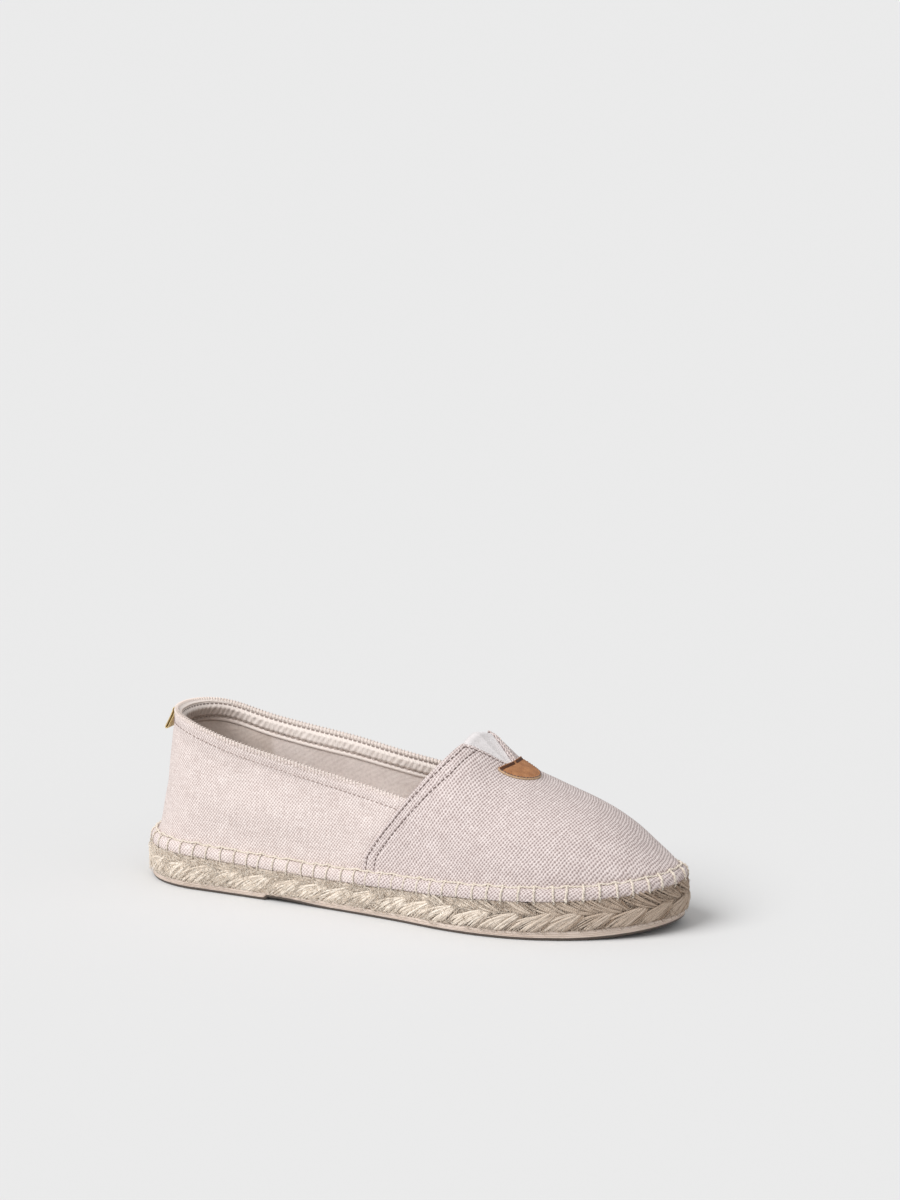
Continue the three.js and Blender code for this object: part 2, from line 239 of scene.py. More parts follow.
class Finish:
    """A material round one Principled shader. Settings of the shader are given by socket name, and
    colours by red, green and blue in linear light."""

    def __init__(self, name, **settings):
        self.material = bpy.data.materials.new(name)
        self.material.use_nodes = True
        self.tree = self.material.node_tree
        self.shader = next(n for n in self.tree.nodes if n.type == "BSDF_PRINCIPLED")
        self.set(settings)

    def set(self, values, node=None):
        """Gives sockets their values: a Reading is linked, anything else is set on the socket."""
        node = node or self.shader
        for key, value in values.items():
            socket = node.inputs[key.replace("_", " ") if isinstance(key, str) else key]
            if isinstance(value, Reading):
                self.tree.links.new(value.socket, socket)
            else:
                socket.default_value = (*value, 1.0) if socket.type == "RGBA" else value
        return self

    def node(self, kind, settings=None, inputs=None, out=0):
        """Adds a node: its settings first, then its sockets' values or links."""
        node = self.tree.nodes.new(kind)
        for key, value in (settings or {}).items():
            setattr(node, key, value)
        self.set(inputs or {}, node)
        return Reading(self, node.outputs[out])

    def maths(self, operation, *values):
        return self.node("ShaderNodeMath", {"operation": operation}, dict(enumerate(values)))

    def place(self):
        """Object coordinates, in metres."""
        return self.node("ShaderNodeTexCoord", out="Object")

    def apart(self, vector, axis):
        """One of the three numbers of a vector."""
        return self.node("ShaderNodeSeparateXYZ", None, {"Vector": vector}, axis)

    def millimetres(self, axis):
        """One way of the shoe in the sizes of this file: X counts from the back of the heel."""
        return self.apart(self.place(), axis) * 1000 - ORIGIN["XYZ".index(axis)]

    def flat(self):
        """The piece's own sheet, in its own millimetres."""
        return self.node("ShaderNodeUVMap", {"uv_map": "UVMap"})

    def sheet(self):
        """The two ways of that sheet."""
        return [self.apart(self.flat(), axis) for axis in "XY"]

    def noise(self, at, scale, detail=2.0, roughness=0.5, stretch=None):
        """Smooth noise about one half. stretch scales the three directions first."""
        if stretch:
            at = self.node("ShaderNodeMapping", None, {"Vector": at, "Scale": stretch})
        inputs = {"Vector": at, "Scale": scale, "Detail": detail, "Roughness": roughness}
        return self.node("ShaderNodeTexNoise", None, inputs, "Fac")

    def mix(self, share, first, second):
        """Goes from the first colour to the second as share goes from 0 to 1."""
        settings = {"data_type": "RGBA", "clamp_factor": True}
        return self.node("ShaderNodeMix", settings, {0: share, 6: first, 7: second}, 2)

    def coats(self, colour, *coats):
        """Lays colours over the first one in turn, each as thick as its share."""
        for share, coat in coats:
            colour = self.mix(share, colour, coat)
        return colour

    def bump(self, height, distance):
        """Raises the surface by height, where 1 is distance metres."""
        inputs = {"Height": height, "Distance": distance}
        return self.node("ShaderNodeBump", None, inputs, "Normal")


TRAY_FLOOR = 2.2
RIM = 1.5  # the tray's wall
HEEL_PAD_END = 70
ARCH_END = 106
ARCH_RISE = 1.5
LINES = [1.75, 2.45]  # the mould lines' heights in quarters of the side
TREAD_PITCH = 5.0
TREAD_DEPTH = 0.5
ACROSS = 30  # rows of points from one side of the sole to the other


def tray_ground(x):
    """Height of the underside: level, with a step up to the arch that fades out, and the toe spring."""
    arch = smooth(x, HEEL_PAD_END, HEEL_PAD_END + 2) * (1 - smooth(x, HEEL_PAD_END + 6, ARCH_END))
    return ARCH_RISE * arch + toe_spring(x)


def tray_side(turn):
    """The tray's profile from the edge of the underside, up round the rim and down to its floor: a
    rounded lower edge, a side with fine lines cut in it, a rounded lip and the inner wall."""
    turn = turn[:, None]
    x = outline(turn)[..., 0]
    low, rim = tray_ground(x), rim_height(x) + 0.25 * np.sin(9 * turn) * np.sin(31 * turn)
    corner = np.linspace(0, np.pi / 2, 6)
    side = np.linspace(0, 1, 22)
    lip = np.linspace(0, np.pi, 8)[1:]
    climb = 1.6 + side * (rim - 0.5 - 1.6 - low)
    lines = sum(hump(climb, line * (rim - low) / 4, 0.24) for line in LINES)
    inside = np.linspace(0, 1, 4)[1:]
    distance = blocks(
        x,
        1.9 - 1.4 * np.sin(corner),
        0.45 - 0.15 * np.sin(np.pi * side) + 0.42 * lines,
        0.45 + RIM / 2 * (1 - np.cos(lip)),
        0.45 + RIM + 0.3 * inside,
    )
    height = blocks(
        x,
        low + 1.6 - 1.6 * np.cos(corner),
        low + climb,
        rim - 0.5 + 0.5 * np.sin(lip),
        rim - 0.5 + inside * (TRAY_FLOOR + toe_spring(x) - rim + 0.5),
    )
    return at_height(turn, distance, height)


def carried(side, turns, across):
    """A closed shape from a profile carried from heel to toe along both sides: its first and last
    points are joined straight across by rows of points."""
    outer, inner = side(-turns), side(turns)
    share = np.linspace(0, 1, across + 2)[1:-1][None, :, None]
    over = outer[:, -1:] + share * (inner[:, -1:] - outer[:, -1:])
    under = inner[:, :1] + share * (outer[:, :1] - inner[:, :1])
    return np.concatenate([outer, over, inner[:, ::-1], under], 1)


def make_carried(name, shape, finish, node, uv=None):
    """The piece of such a closed shape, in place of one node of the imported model."""
    faces = [grid(*shape.shape[:2], round_columns=True)]
    make(name, shape, faces, finish, [node], uv, weld=0.001, outward=True)


turns = np.linspace(0, np.pi, 221)
tray = carried(tray_side, turns, ACROSS)
underside = tray[:, -ACROSS:]
edge = np.minimum(np.linspace(0, 1, ACROSS), np.linspace(1, 0, ACROSS))
ribs = np.abs(np.sin(np.pi * underside[..., 0] / TREAD_PITCH)) ** 0.6
inner_field = smooth(edge * np.ptp(tray[:, :, 1], axis=1)[:, None], 5, 6.5)
underside[..., 2] += TREAD_DEPTH * (1 - ribs) * inner_field

rubber = Finish("cream_rubber", Roughness=0.52, IOR=1.5, Specular_IOR_Level=0.35)
cloudy = rubber.noise(rubber.place(), 60, 4)
_, v = rubber.sheet()
clean = rubber.mix(cloudy.rise(0.3, 0.7), (0.64, 0.53, 0.455), (0.72, 0.61, 0.535))
speckle = rubber.noise(rubber.place(), 420, 3)
# painted shade: the lowest edge of the rubber is painted near black, for the shade where it meets the floor
painted_contact_shade = (v + speckle * 0.25).rise(1.4, 1.7, 0.97, 0.0)
colour = rubber.mix(painted_contact_shade, clean, (0.045, 0.033, 0.028))
scuffed = (v + speckle * 2.0).rise(1.6, 2.6, 0.35, 0.0)
rubber.set({"Base Color": rubber.mix(scuffed * speckle, colour, (0.36, 0.28, 0.22))})
rubber.set({"Normal": rubber.bump(rubber.noise(rubber.place(), 1500, 3), 0.00008)})

above = tray[..., 2] - tray_ground(tray[..., 0])
tray_uv = np.stack([tray[..., 0], above], -1)
make_carried("rubber_tray", tray, rubber, "rubber_outsole", tray_uv)

# ---- Jute sole -----------------------------------------------------------------------------------
# One long jute braid wound flat into a sole and stitched through. Its outermost lap shows round the
# side as two rows of slanting strands, each a loose bundle of yarns, that meet in a line of arrows.

PLACES_SEAM = [22.4, 21.9, 21.1, 20.3, 19.9, 20.9, 21.9, 22.7, 23.2, 23.9, 24.7, 25.7, 27.4]
SEAM_INSET = 3.6  # the stitched seam lies this far in from the outline
HEM_DROP = 5.8  # the cloth's hem reaches this far below it
STRAND_PITCH = 14.0
ARROWS = [0.66, 0.50]  # share of the braid's height at which its rows meet, at the heel and the toe
YARNS = 20
YARN_RADIUS = 0.45
FIBRES = 5200

seam_height = through(PLACES, PLACES_SEAM)


def seam_at(turn):
    """Height of the stitched seam."""
    return seam_height(inset(turn, SEAM_INSET)[..., 0])


def square_to(paths):
    """Two directions square to k paths of n points, and to each other."""
    along = unit(np.gradient(paths, axis=1))
    side = unit(np.cross(along, (0.0, 0.0, 1.0)))
    return side, np.cross(side, along)


def make_tubes(name, paths, radius, sides, finish, numbers=None):
    """A piece of round tubes along k paths of n points. Its sheet is the length along a tube, and the
    tube's number, counted from 0 unless numbers are given."""
    count, steps = paths.shape[:2]
    side, up = square_to(paths)
    turn = 2 * np.pi * np.arange(sides) / sides
    reach = np.broadcast_to(radius, (count, steps))[..., None, None]
    ring = np.cos(turn)[:, None] * side[:, :, None] + np.sin(turn)[:, None] * up[:, :, None]
    points = paths[:, :, None] + reach * ring
    first = np.arange(count)[:, None, None] * steps * sides
    walls = (grid(steps, sides, round_columns=True)[None] + first).reshape(-1, 4)
    start = (np.arange(sides)[None] + first[:, 0]).reshape(-1, sides)
    end = (start + (steps - 1) * sides)[:, ::-1]
    far = np.broadcast_to(lengths(paths, 1)[..., None], (count, steps, sides))
    numbers = np.arange(count) if numbers is None else numbers
    uv = np.stack([far, np.broadcast_to(numbers[:, None, None] * 1.0, far.shape)], -1)
    make(name, points, [walls, start, end], finish, uv=uv)


def jute_side(turn):
    """The braid's core: from the floor of the tray, up behind the strands, and in under the hem to
    the edge of the insole."""
    turn = turn[:, None]
    x, seam = outline(turn)[..., 0], seam_at(turn)
    share = np.linspace(0, 1, 7)
    rim, hem = rim_height(x), seam - HEM_DROP
    hollow = 1.2 - 1.0 * np.sin(np.pi * share ** 1.2) + 1.5 * share ** 3
    floor = TRAY_FLOOR + toe_spring(x) + 0.1
    distance = blocks(x, 2.9, 1.3, hollow, 3.4, 5.2)
    height = blocks(x, floor, rim, rim + share * (hem - rim) + 0.2, seam - 4.0, seam - 2.6)
    return at_height(turn, distance, height)


def on_braid(place, share, depth):
    """A point on the side of the sole: place along the outline, share of the height between the
    rubber's rim and the hem, and depth out from the outline."""
    turn = np.interp(place % BRAID_LENGTH, braid_places, braid_turns)
    x = outline(turn)[..., 0]
    low, high = rim_height(x) + 0.35, seam_at(turn) - HEM_DROP + 0.5
    tuck = 0.55 * np.sin(turn) ** 2  # the braid is drawn in along the sides
    return at_height(turn, tuck - depth, low + share * (high - low))


braid_turns, braid_places = even_turns(0.5, 0.0)
BRAID_LENGTH = braid_places[-1]
draw = np.random.default_rng(7)
arrows = int(round(BRAID_LENGTH / STRAND_PITCH))
tips = np.arange(arrows) * BRAID_LENGTH / arrows

# Each strand is a fan of yarns. They leave the rim or the hem steeply, bend towards the toe, draw
# together at the tip of the arrow and dive under the next strand. The first yarn of a strand is its
# longest, and lies along the line of arrows.
jitter = draw.normal(0, 1, (2, arrows, YARNS, 6))
row = np.array([-1.0, 1.0])[:, None, None, None]
tip = tips[None, :, None, None] + np.array([0.0, 0.45])[:, None, None, None] * STRAND_PITCH
tip = tip + 0.7 * jitter[:, :, :1, :1]
order = np.linspace(0, 1, YARNS)[None, None, :, None]
s = np.linspace(0, 1, 13)[None, None, None, :]
start = tip + 17.5 - 14.5 * order + 0.70 * jitter[..., 1:2]
end = tip - 1.0 - 4.0 * order + 0.6 * jitter[..., 2:3]
bend = start + (0.42 + 0.15 * order) * (end - start) + 0.85 * jitter[..., 3:4]
place = start * (1 - s) ** 2 + 2 * bend * s * (1 - s) + end * s ** 2
foot = -0.80 - 0.25 * smooth(order, 0, 0.15)
rise = (1 - s) ** 2 * foot + 2 * s * (1 - s) * foot * (0.10 + 0.42 * order)
rise = rise + s ** 2 * (0.06 + 0.05 * jitter[..., 4:5])
toeward = smooth(outline(np.interp(tip % BRAID_LENGTH, braid_places, braid_turns))[..., 0], 110, 250)
meeting = ARROWS[0] + (ARROWS[1] - ARROWS[0]) * toeward
share = meeting + row * -rise * np.where(row < 0, meeting, 1 - meeting)
crown = np.sin(np.pi * (0.12 + 0.76 * order)) ** 0.7
bulge = np.where(row < 0, 0.62 + 0.73 * toeward, 0.45 + 0.50 * toeward)
bulge = bulge * np.sin(np.pi * (0.08 + 0.72 * s)) ** 0.8
depth = np.where(row < 0, -0.55, -1.25 + 0.45 * toeward) + bulge + 0.35 * crown
depth = depth - 0.9 * smooth(s, 0.82, 1.0) * (0.4 + order) - 0.35 * smooth(0.14 - s, 0, 0.14)
depth = depth + np.where(row < 0, 0.12, 0.30) * jitter[..., 5:6]
depth = depth + 0.14 * np.sin(11 * s + 3 * jitter[..., 1:2])
depth = depth + 0.35 * smooth(0.35 - order, 0, 0.35) * s
paths = on_braid(place, share, depth).reshape(-1, s.shape[-1], 3)
radius = YARN_RADIUS * (1 + 0.22 * draw.normal(0, 1, (len(paths), 1)))
radius = np.clip(radius, 0.24, 0.62) * (0.86 + 0.14 * np.sin(np.pi * s[0, 0]))

jute = Finish("jute_yarn", Roughness=0.9, Specular_IOR_Level=0.15)
along, number = jute.sheet()
own = jute.node("ShaderNodeTexWhiteNoise", {"noise_dimensions": "1D"}, {"W": number}, "Value")
streaks = jute.noise(jute.place(), 900, 4, 0.6)
body = jute.mix(own, (0.86, 0.750, 0.635), (0.99, 0.910, 0.810))
# painted shade: the upper row's yarns are darker, for the shade under the hem
body = jute.mix(number.rise(arrows * YARNS - 1, arrows * YARNS, 0.0, 0.26), body, (0.40, 0.31, 0.235))
from_heel = jute.millimetres("X")
# painted shade: the last yarn of each strand is darker, more so towards the toe, for the shade between
# strands
last_yarn_shade = (number * (1 / YARNS)).maths("FRACT").rise(0.68, 0.95)
body = jute.mix(last_yarn_shade * from_heel.rise(60, 240, 0.08, 0.78), body, (0.20, 0.135, 0.09))
# painted shade: the yarns darken towards the toe, where less light falls
body = jute.mix(from_heel.rise(150, 262), body, jute.mix(0.70, body, (0.33, 0.225, 0.155)))
body = jute.mix(streaks.rise(0.35, 0.65), jute.mix(0.2, body, (0.40, 0.30, 0.22)), body)
jute.set({"Base Color": body})
plies = (along * 1.1 + streaks * 0.6).wave()
jute.set({"Normal": jute.bump(plies + streaks, 0.00016)})

core_jute = Finish("jute_core", Roughness=0.95, Specular_IOR_Level=0.1)
weave = core_jute.noise(core_jute.place(), 500, 5, 0.7, stretch=(0.4, 0.4, 1.6))
body = core_jute.mix(weave.rise(0.3, 0.7), (0.74, 0.63, 0.52), (0.95, 0.86, 0.76))
# painted shade: the core darkens towards the toe, for the shade in the gaps between strands
toe_gap_shade = core_jute.millimetres("X").rise(60, 240)
core_jute.set({"Base Color": core_jute.mix(toe_gap_shade * 0.8, body, (0.17, 0.115, 0.080))})
core_jute.set({"Normal": core_jute.bump(weave, 0.0006)})

make_carried("jute_core", carried(jute_side, turns, 20), core_jute, "jute_sole")
half = len(paths) // 2
yarns = np.arange(len(paths))
for name, some in (("braid_lower_row", yarns[:half]), ("braid_upper_row", yarns[half:])):
    make_tubes(name, paths[some], radius[some], 6, jute, some)

# Loose fibres that stand off the strands.
start = draw.uniform(0, BRAID_LENGTH, (FIBRES, 1))
level = draw.uniform(-0.03, 0.97, (FIBRES, 1))
s = np.linspace(0, 1, 5)[None]
reach = draw.uniform(2.0, 6.5, (FIBRES, 1))
slant = -np.sign(level - 0.5) * draw.normal(0.9, 0.9, (FIBRES, 1))
lift = np.abs(draw.normal(0, 0.50, (FIBRES, 1)))
curl = draw.normal(0, 0.10, (FIBRES, 1))
place = start - reach * s
share = level + slant * reach * s / 13 + curl * np.sin(np.pi * s)
depth = 0.70 + lift * np.sin(np.pi * s) - 0.4 * s
paths = on_braid(place, np.clip(share, -0.10, 1.02), depth)
make_tubes("jute_fibres", paths, 0.13 * (1 - 0.5 * s), 3, jute, np.arange(FIBRES) % half)

# ---- Insole --------------------------------------------------------------------------------------
# A thin footbed of natural cloth over a soft board, laid on the braid inside the walls. It is a little
# cupped under the heel, and its edge is rounded.

INSOLE_EDGE = 5.2  # in from the outline
INSOLE = 2.4


def insole_side(turn):
    """The footbed's rounded edge, from its underside to its top."""
    turn = turn[:, None]
    low = seam_at(turn) - 2.1
    corner = np.linspace(-np.pi / 2, np.pi / 2, 9)
    distance = INSOLE_EDGE + 0.9 - 0.9 * np.cos(corner) + 0 * low
    return at_height(turn, distance, low + INSOLE / 2 * (1 + np.sin(corner)))


bed = carried(insole_side, turns, ACROSS)
top = bed[:, 9:9 + ACROSS]
cup = np.sin(np.linspace(0, np.pi, ACROSS + 2)[1:-1]) ** 0.8
top[..., 2] -= 0.7 * cup * hump(top[..., 0], 45, 60)

bed_cloth = Finish("insole_cloth", Roughness=0.9, Sheen_Weight=0.2)
u, v = bed_cloth.sheet()
threads = (u * 1.6).wave() * (v * 1.6).wave()
soft = bed_cloth.noise(bed_cloth.place(), 45, 4)
colour = bed_cloth.mix(threads.rise(0.05, 0.5), (0.60, 0.51, 0.45), (0.86, 0.76, 0.69))
colour = bed_cloth.mix(soft.rise(0.35, 0.75) * 0.35, colour, (0.55, 0.46, 0.39))
bed_cloth.set({"Base Color": colour, "Normal": bed_cloth.bump(threads, 0.00025)})
make_carried("footbed", bed, bed_cloth, "insole", bed[..., :2])

# ---- Canvas upper --------------------------------------------------------------------------------
# Two quarters and a vamp of basket-weave linen canvas, lasted over the sole and turned outwards over
# its edge as a hem. The vamp laps over the quarters along two raked seams, each sewn with two rows.

RISE = [92, 92, 92, 90, 86, 74.5, 60.2, 45, 37.6, 28.4, 20.2, 10.6, 0]
OUTER_LEAN = [9.0, 6.0, 3.0, 1.8, 1.4, 1.2, 1, 1, 1, 1, 1, 1, 1]
INNER_LEAN = [9.0, 5.5, 1.5, -1.5, -2.0, 0, 1, 1, 1, 1, 1, 1, 1]
WALL_FULL = 2.2
HEEL_CENTRE = 41
HEEL_FAN = 61
THROAT = 141.5
CORNER = 161  # the upper end of the raked seam, where the V of the vamp begins
CORNER_HEIGHT = 78.8
CORNER_HALF = 14.5
NOTCH_END = 181
QUARTER_END = 150  # the quarters run on under the vamp
RAKE_SLOPE = 0.84  # distance from the raked seam for each millimetre of length
CLOTH = 0.8
LINING = 0.5
COLLAR_ROW = 5.8  # the stitched row under the collar's edge
STITCH_PITCH = 6.9  # of the blanket stitch round the sole
QUARTER_CREASES = [  # from one (x, z) to another, with a width and a depth
    ((12, 74), (34, 58), 2.6, 0.50), ((20, 70), (46, 57), 2.2, 0.35), ((5, 60), (14, 34), 3.2, 0.45),
    ((44, 34), (62, 25), 3.0, 0.40), ((78, 32), (93, 24), 3.2, 0.35), ((104, 40), (119, 27), 3.4, 0.5),
    ((112, 50), (128, 44), 2.6, 0.4), ((60, 62), (84, 56), 2.4, 0.30),
]

rise_of = through(PLACES, RISE)
outer_lean = through(PLACES, OUTER_LEAN)
inner_lean = through(PLACES, INNER_LEAN)
outer_collar = through([0, 19, 51, 91, 121, 141.5], [79.5, 77.5, 70.4, 63.4, 58.3, 54.8])
inner_collar = through([0, 19, 51, 91, 121, 141.5], [79.5, 77.7, 71.4, 65.8, 60.9, 57.0])
hem_fall = np.array([5.8, 5.2, 4.4, 3.6, 2.8, 2.1, 1.5, 1.0, 0.5])
hem_in = through([0, 1.0, 3.2, 5.8], [3.6, 1.3, 0.1, 0.0])


def of_side(turn, outer, inner):
    """One value on the outer side of the foot and another on the inner side."""
    return np.where(np.sin(turn) < 0, outer, inner)


def wall(turn, angle):
    """A point of the last's side. Its height goes with the sine of the angle round the section. Behind
    the throat the wall leans in a little, and in front it arches over the foot to the top line."""
    foot = inset(turn, SEAM_INSET)
    x = foot[..., 0]
    fan = HEEL_CENTRE + (HEEL_FAN - HEEL_CENTRE) * (np.maximum(x, 0) / HEEL_FAN) ** 3
    top = np.stack([np.where(x < HEEL_FAN, fan, x), foot_line(x)], -1)
    seam = seam_height(x)
    collar = of_side(turn, outer_collar(x), inner_collar(x))
    width = np.maximum(np.linalg.norm(top - foot, axis=-1), 1e-6)
    height = rise_of(x) * np.sin(angle)
    lean_in = of_side(turn, outer_lean(x), inner_lean(x))
    straight = lean_in * (np.maximum(height, 0) / (collar - seam)) ** 0.75 / width
    arched = 1 - np.maximum(np.cos(angle), 0) ** (2 / WALL_FULL)
    dome = smooth(x, 85, 136)
    share = ((1 - dome) * straight + dome * arched)[..., None]
    return np.concatenate([foot + share * (top - foot), (seam + height)[..., None]], -1)


def angle_at(turn, height):
    """The angle at which a wall reaches a height."""
    x = inset(turn, SEAM_INSET)[..., 0]
    return np.arcsin(np.clip((height - seam_height(x)) / np.maximum(rise_of(x), 1e-3), 0, 1))


def collar_at(turn):
    """Height of the collar's edge."""
    x = inset(turn, SEAM_INSET)[..., 0]
    return of_side(turn, outer_collar(x), inner_collar(x))


def notch_angle(turn):
    """The angle at which the vamp ends: on the V, at the top line in front of it, and level with its
    corner behind it."""
    x = np.maximum(inset(turn, SEAM_INSET)[..., 0], CORNER)
    width = of_side(turn, outer_half(x), inner_half(x)) - SEAM_INSET
    half = CORNER_HALF * np.clip((NOTCH_END - x) / (NOTCH_END - CORNER), 0, 1)
    return np.arccos(np.clip(half / width, 0, 1) ** (WALL_FULL / 2))


def turn_of(x, side):
    """The turn at which the seam reaches x, on the outer side (-1) or the inner one."""
    fine = np.linspace(0, np.pi, 3001)
    return side * np.interp(x, inset(side * fine, SEAM_INSET)[:, 0], fine)


def round_heel(spacing, outer, inner):
    """Turns evenly spaced round the heel, from one x on the outer side to another on the inner."""
    return even_turns(spacing, SEAM_INSET, turn_of(outer, -1), turn_of(inner, 1))[0]


def squarely(points):
    """Directions square to a grid of points, along the cross product of its two ways."""
    down, across = np.gradient(points, axis=0), np.gradient(points, axis=1)
    return unit(np.cross(down, across))


seam_turns, seam_places = even_turns(0.5, SEAM_INSET)
SEAM_LENGTH = seam_places[-1]
STITCHES = int(round(SEAM_LENGTH / STITCH_PITCH))


def between_stitches(turn):
    """0 under a leg of the blanket stitch, 1 half way to the next."""
    place = np.interp(turn, seam_turns, seam_places)
    return np.abs(np.sin(np.pi * place * STITCHES / SEAM_LENGTH))


def ripple(points, turn):
    """How far the cloth above the seam stands off: drawn in by the stitches, puffed out between."""
    above = np.maximum(points[..., 2] - seam_at(turn), 0)
    return 0.25 * between_stitches(turn) * np.exp(-above / 2.6) - 0.1


def trough(points, start, end, width):
    """A soft groove between two spots of (x, z): 1 along the line, fading out over width."""
    a, b = np.array(start, float), np.array(end, float)
    spot = points[..., [0, 2]]
    along = np.clip(((spot - a) @ (b - a)) / ((b - a) @ (b - a)), 0, 1)
    away = np.linalg.norm(spot - a - along[..., None] * (b - a), axis=-1)
    return hump(away, 0, width) * np.sin(np.pi * (0.08 + 0.84 * along))


def raked(z, side):
    """The raked seam's place at a height: it leaves the sole steeply and leans back to the corner."""
    throat = (outer_collar if side < 0 else inner_collar)(THROAT)
    return through([14, 22, 28, throat, CORNER_HEIGHT], [119.6, 120.2, 121.6, THROAT, CORNER])(z)


def past_rake(points, turn):
    """How far a point of the quarters lies in front of the raked seam."""
    seam = np.where(np.sin(turn) < 0, raked(points[..., 2], -1), raked(points[..., 2], 1))
    return points[..., 0] - seam


def drape(points, turn):
    """How far the quarters stand off the last: hollow under the collar, fuller at half height, with
    the soft dents of cloth that has been pressed and worn."""
    outer = (np.sin(turn) < 0) * 1.0
    lift = -1.0 * trough(points, (22, 62), (108, 50), 9) * outer
    lift = lift + 1.3 * trough(points, (30, 40), (104, 36), 11) * outer
    lift = lift - 0.9 * trough(points, (30, 60), (100, 54), 8) * (1 - outer)
    lift = lift + 0.9 * trough(points, (30, 38), (100, 34), 11) * (1 - outer)
    for start, end, width, deep in QUARTER_CREASES:
        lift = lift - deep * trough(points, start, end, width)
    return lift


def hem_rows(turn):
    """The hem's rows from its edge up to the seam, puffed out between the stitches."""
    turn = np.broadcast_to(turn, (len(hem_fall),) + turn.shape[-1:])
    fall = hem_fall[:, None]
    puff = 0.14 * np.sin(np.pi * np.clip(fall / 6.4, 0, 1)) * between_stitches(turn) ** 0.4
    return at_height(turn, hem_in(fall) - puff + 0.12, seam_at(turn) - fall)


def thicken(piece, thick):
    """Gives a sheet its thickness, inwards from its outside."""
    solid = piece.modifiers.new("thickness", "SOLIDIFY")
    solid.thickness, solid.offset = thick * 0.001, -1.0


def shell(name, points, uv, thick, finish, stands_for=(), weld=0.02):
    """A sheet of cloth from a grid of points on its outside, thickened inwards."""
    thicken(make(name, points, [grid(*points.shape[:2])], finish, stands_for, uv, weld), thick)


def canvas_look(name, light, dark, depth, lines, dots):
    """Basket weave on the piece's sheet: pale threads over brown-grey ones, so that the dark crossings
    line up in slanting rows. lines and dots give the turns of the two waves for each millimetre of the
    sheet's two ways. The threads wander and swell, and some are a little lighter."""
    finish = Finish(name, Roughness=0.92, Specular_IOR_Level=0.12, Sheen_Weight=0.12)
    at = finish.flat()
    u, v = finish.sheet()
    u = u + (finish.noise(at, 0.35, 4) - 0.5) * 1.3
    v = v + (finish.noise(at, 0.31, 4) - 0.5) * 1.3
    row, dot = ((u * way[0] + v * way[1]) * 2 * np.pi for way in (lines, dots))
    crossing = row.maths("COSINE") * 0.57 + dot.maths("COSINE") * 0.43
    ways = (1.1, 0.12, 1), (0.12, 1.1, 1)
    slub, swell = (finish.noise(at, 1.0, 3, stretch=way) for way in ways)
    slub = slub + swell
    body = finish.mix(slub.rise(0.65, 1.35), light[0], light[1])
    cloud = finish.noise(finish.place(), 70, 4)
    body = finish.mix(cloud.rise(0.42, 0.8) * 0.18, body, light[2])
    body = finish.mix((crossing + slub * 0.5 - 0.25).rise(-0.75, 0.75, depth, 0.0), body, dark)
    fuzz = finish.noise(finish.place(), 2600, 2)
    return finish.set({"Base Color": body, "Normal": finish.bump(crossing + fuzz * 0.35, 0.00014)})


canvas = canvas_look(
    "linen_canvas", ((0.78, 0.675, 0.640), (0.89, 0.793, 0.758), (0.72, 0.607, 0.572)),
    (0.30, 0.215, 0.195), 0.66, (0.73, -0.51), (0.46, 0.66),
)
# The vamp's copy of the canvas is painted a little darker than the quarters', as painted shade; its weave
# also runs another way and has more contrast.
vamp_canvas = canvas_look(
    "linen_canvas_vamp", ((0.71, 0.612, 0.588), (0.82, 0.728, 0.704), (0.665, 0.563, 0.538)),
    (0.23, 0.16, 0.152), 0.80, (0.85, 0.0), (0.32, 0.72),
)

# The quarters, in one strip round the heel: troughs under the collar and round the heel, and a fuller
# belly at half height. The cloth dips where the vamp laps over it, and rolls over at the collar.
column_turns = round_heel(1.15, QUARTER_END, QUARTER_END)
share = 1 - (1 - np.linspace(0, 1, 52)) ** 1.5
turn = np.broadcast_to(column_turns, (len(share), len(column_turns)))
sheet = wall(turn, share[:, None] * angle_at(turn, collar_at(turn)))
out = squarely(sheet)
from_edge = (1 - share[:, None]) * (collar_at(turn) - seam_at(turn))
past_seam = past_rake(sheet, turn)
lift = drape(sheet, turn) - 0.58 * smooth(past_seam, -2.0, 0.6)
lift = lift - 0.45 * np.clip(1 - from_edge / 0.9, 0, 1) ** 2
lift = lift + 0.22 * hump(from_edge, 3.2, 2.0) - 0.16 * hump(from_edge, COLLAR_ROW, 0.8)
sheet = sheet + (lift + ripple(sheet, turn))[..., None] * out
hem = hem_rows(column_turns)
hem_dip = smooth(past_seam[0], -1.5, 0.6)
hem[..., :2] = hem[..., :2] + 0.5 * hem_dip[None, :, None] * (
    inset(column_turns, 1.0) - inset(column_turns, 0.0))[None]
quarter = np.concatenate([hem, sheet])
quarter_uv = np.stack(
    [np.broadcast_to(-lengths(quarter, 1)[len(hem_fall)], quarter.shape[:2]), lengths(quarter, 0)], -1)
shell("canvas_quarters", quarter, quarter_uv, CLOTH, canvas, ["upper"])

# The vamp, a grid whose first column lies on the raked seam and whose top row lies on the V and then on
# the top line. Its edges are turned under and rounded, and each sewn row lies in a shallow groove.
vamp_share = np.concatenate([np.linspace(0, 0.93, 58), 1 - 0.07 * (1 - np.linspace(0, 1, 12)[1:]) ** 1.4])
from_seam = np.linspace(0, 1, 150) ** 1.5
FIRST_SWING = 1.6  # a row's points go with the cosine of an angle from here to half a turn


def vamp_rear(share, side):
    """Where a row of the vamp starts on the raked seam: its turn."""
    z = np.linspace(14, CORNER_HEIGHT, 400)
    x = raked(z, side)
    turn = turn_of(x, side)
    rows = angle_at(turn, z) / notch_angle(turn)
    return turn_of(np.interp(share, rows, x), side)


